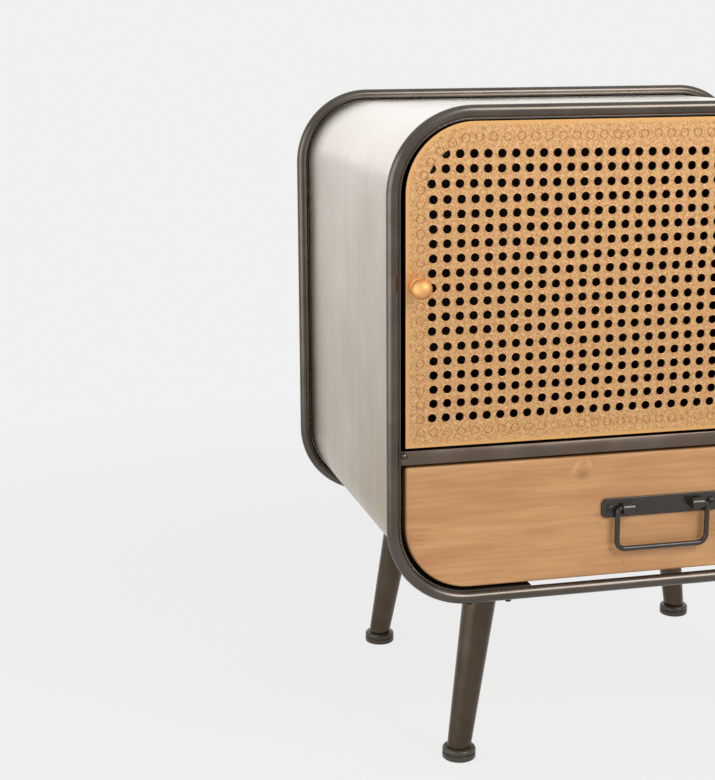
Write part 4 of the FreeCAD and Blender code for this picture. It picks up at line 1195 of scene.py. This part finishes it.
nuts = solids_of("leg_nuts")
thick = max(p.z for p in nuts[0]) - min(p.z for p in nuts[0])
inside = [round_ring(shank + NUT_PLAY, along) for along in (0, thick)]
rings = [inside[0], round_ring(head * CHAMFER, 0), hexagon(head, thick * NUT_CHAMFER),
         hexagon(head, thick * (1 - NUT_CHAMFER)), round_ring(head * CHAMFER, thick), inside[1],
         inside[0]]
template = new_piece("nut", *skin(rings), black_oxide, HEX_SHARP)
spots = [([sum(p[i] for p in nut) / len(nut) for i in (0, 1)] + [min(p.z for p in nut)], (0, 0, 1))
         for nut in nuts]
set_fasteners("leg_nuts", spots, black_oxide, template, HEX_SHARP)

# %% [markdown]
# ## Pieces that keep their solid's shape
# Folded sheet, planks, hinges and slides already have the right shape. Their solids' meshes are
# loose triangles, so a copy is merged into whole faces first, and then its edges are eased.

# %% Which finish and how much ease
EASED = {
    # node: (piece, finish, width of the eased edge in millimetres)
    "rear_rail": ("back_rail", gunmetal, 0.8),
    # The shelf, the door's fold and the runner rails take the near-black primer as painted shade
    "shelf_panel": ("cabinet_floor", dark_primer, 0.3),
    "back_panel": ("cabinet_back", painted_board, 0.3),
    "door_rim": ("door_fold", dark_primer, 0.4),
    "box_front": ("box_front_plank", fir_box, 0.8),
    "drawer_side_left": ("box_plank_left", fir_box, 0.8),
    "drawer_side_right": ("box_plank_right", fir_box, 0.8),
    "drawer_back": ("box_back_plank", fir_box, 0.8),
    "drawer_bottom": ("box_floor", fir_box, 0.4),
    "catch_housing": ("catch_block", moulded_nylon, 0.8),
    "catch_magnet": ("catch_bar", ferrite, 0.3),
    "catch_strike": ("strike_plate", zinc_plate, 0.2),
    "hinge_pins": ("hinge_pin_pair", satin_brass, 0.3),
}
for corner in CORNERS:
    EASED[f"leg_plate_{corner}"] = (f"leg_flange_{corner}", gunmetal, 0.6)
for side in ("left", "right"):
    EASED[f"runner_bracket_{side}"] = (f"runner_rail_{side}", dark_primer, 0.4)
    for member in ("outer", "middle", "inner"):
        EASED[f"slide_{member}_{side}"] = (f"slide_channel_{member}_{side}", zinc_plate, 0.3)
for height in ("lower", "upper"):
    for leaf in ("frame", "door"):
        EASED[f"hinge_{leaf}_leaf_{height}"] = (f"hinge_leaf_{leaf}_{height}", satin_brass, 0.15)
print(len(EASED), "pieces keep their solid's shape")

# %% Merge and ease
# Triangles that meet at less than this many degrees belong to one flat face
FLAT = 0.5


def eased(node, name, material, width):
    mesh = frame["nodes"][node].data.copy()
    mesh.name = name
    work = merged(mesh, SAME_PACKED)
    bmesh.ops.dissolve_limit(work, angle_limit=radians(FLAT), verts=work.verts, edges=work.edges)
    work.to_mesh(mesh)
    work.free()
    mesh.materials.clear()
    mesh.materials.append(material)
    return ease_edges(soften(link_new(name, mesh)), width * MM, steps=2, angle=40)


for node, (name, material, width) in EASED.items():
    stand_for(eased(node, name, material, width), node)

# %% [markdown]
# ### Weld spots on the rail
# The rail's ends are tacked to the sheet with weld spots that were left as lumps under the lacquer.
# A node tree drops a lump at each point with its own size and turn, from a fixed seed.

# %% A tree that drops weld spots
LUMP_SCALES, LUMP_TURNS = (0.75, 1.2), (-0.4, 0.4)
weld_tree, given = start_tree("weld_spots", "Welds", Places="Geometry", Lump="Object", Seed="Int",
                              Finish="Material")
drawn = []
for least, most in (LUMP_SCALES, LUMP_TURNS):
    limits = {"Min": [least] * 3, "Max": [most] * 3, "Seed": given["Seed"]}
    drawn.append(add(weld_tree, "FunctionNodeRandomValue", limits, data_type="FLOAT_VECTOR"))
copies = copies_of(weld_tree, given["Lump"], given["Places"], Scale=drawn[0], Rotation=drawn[1])
end_tree(weld_tree, copies, given["Finish"])
print("tree:", weld_tree.name)

# %% The rail with its weld spots
WELD, WELD_RISE, WELD_INSET = 3.3 * MM, 3.3 * MM * 0.7, 2.6 * MM
WELD_HEIGHT = 0.7
LUMP_RINGS, LUMP_STEPS, LUMP_SHARP = 7, 14, 80
RAIL_EASE = 0.8

low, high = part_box("mid_rail")
lump_line = [(WELD * cos(t), WELD_RISE * sin(t))
             for t in [pi * (i / LUMP_RINGS - 0.5) for i in range(1, LUMP_RINGS)]]
lump_line = [(0, -WELD_RISE)] + lump_line + [(0, WELD_RISE)]
lump = turned("lump", lump_line, gunmetal, axis=(0, 1, 0), count=LUMP_STEPS, sharp=LUMP_SHARP)
places = [(side * (high.x - WELD_INSET), low.y, low.z + WELD_HEIGHT * (high.z - low.z))
          for side in (-1, 1)]
welds = host("rail_welds", places, [])
grow(welds, weld_tree, LUMP_SHARP, Lump=lump, Seed=4, Finish=gunmetal)
bpy.data.objects.remove(lump)
# The rail takes the lighter copy of the lacquer as painted light
rail = eased("mid_rail", "front_rail", sprayed_gunmetal, RAIL_EASE)
stand_for(join(rail, [welds]), "mid_rail")
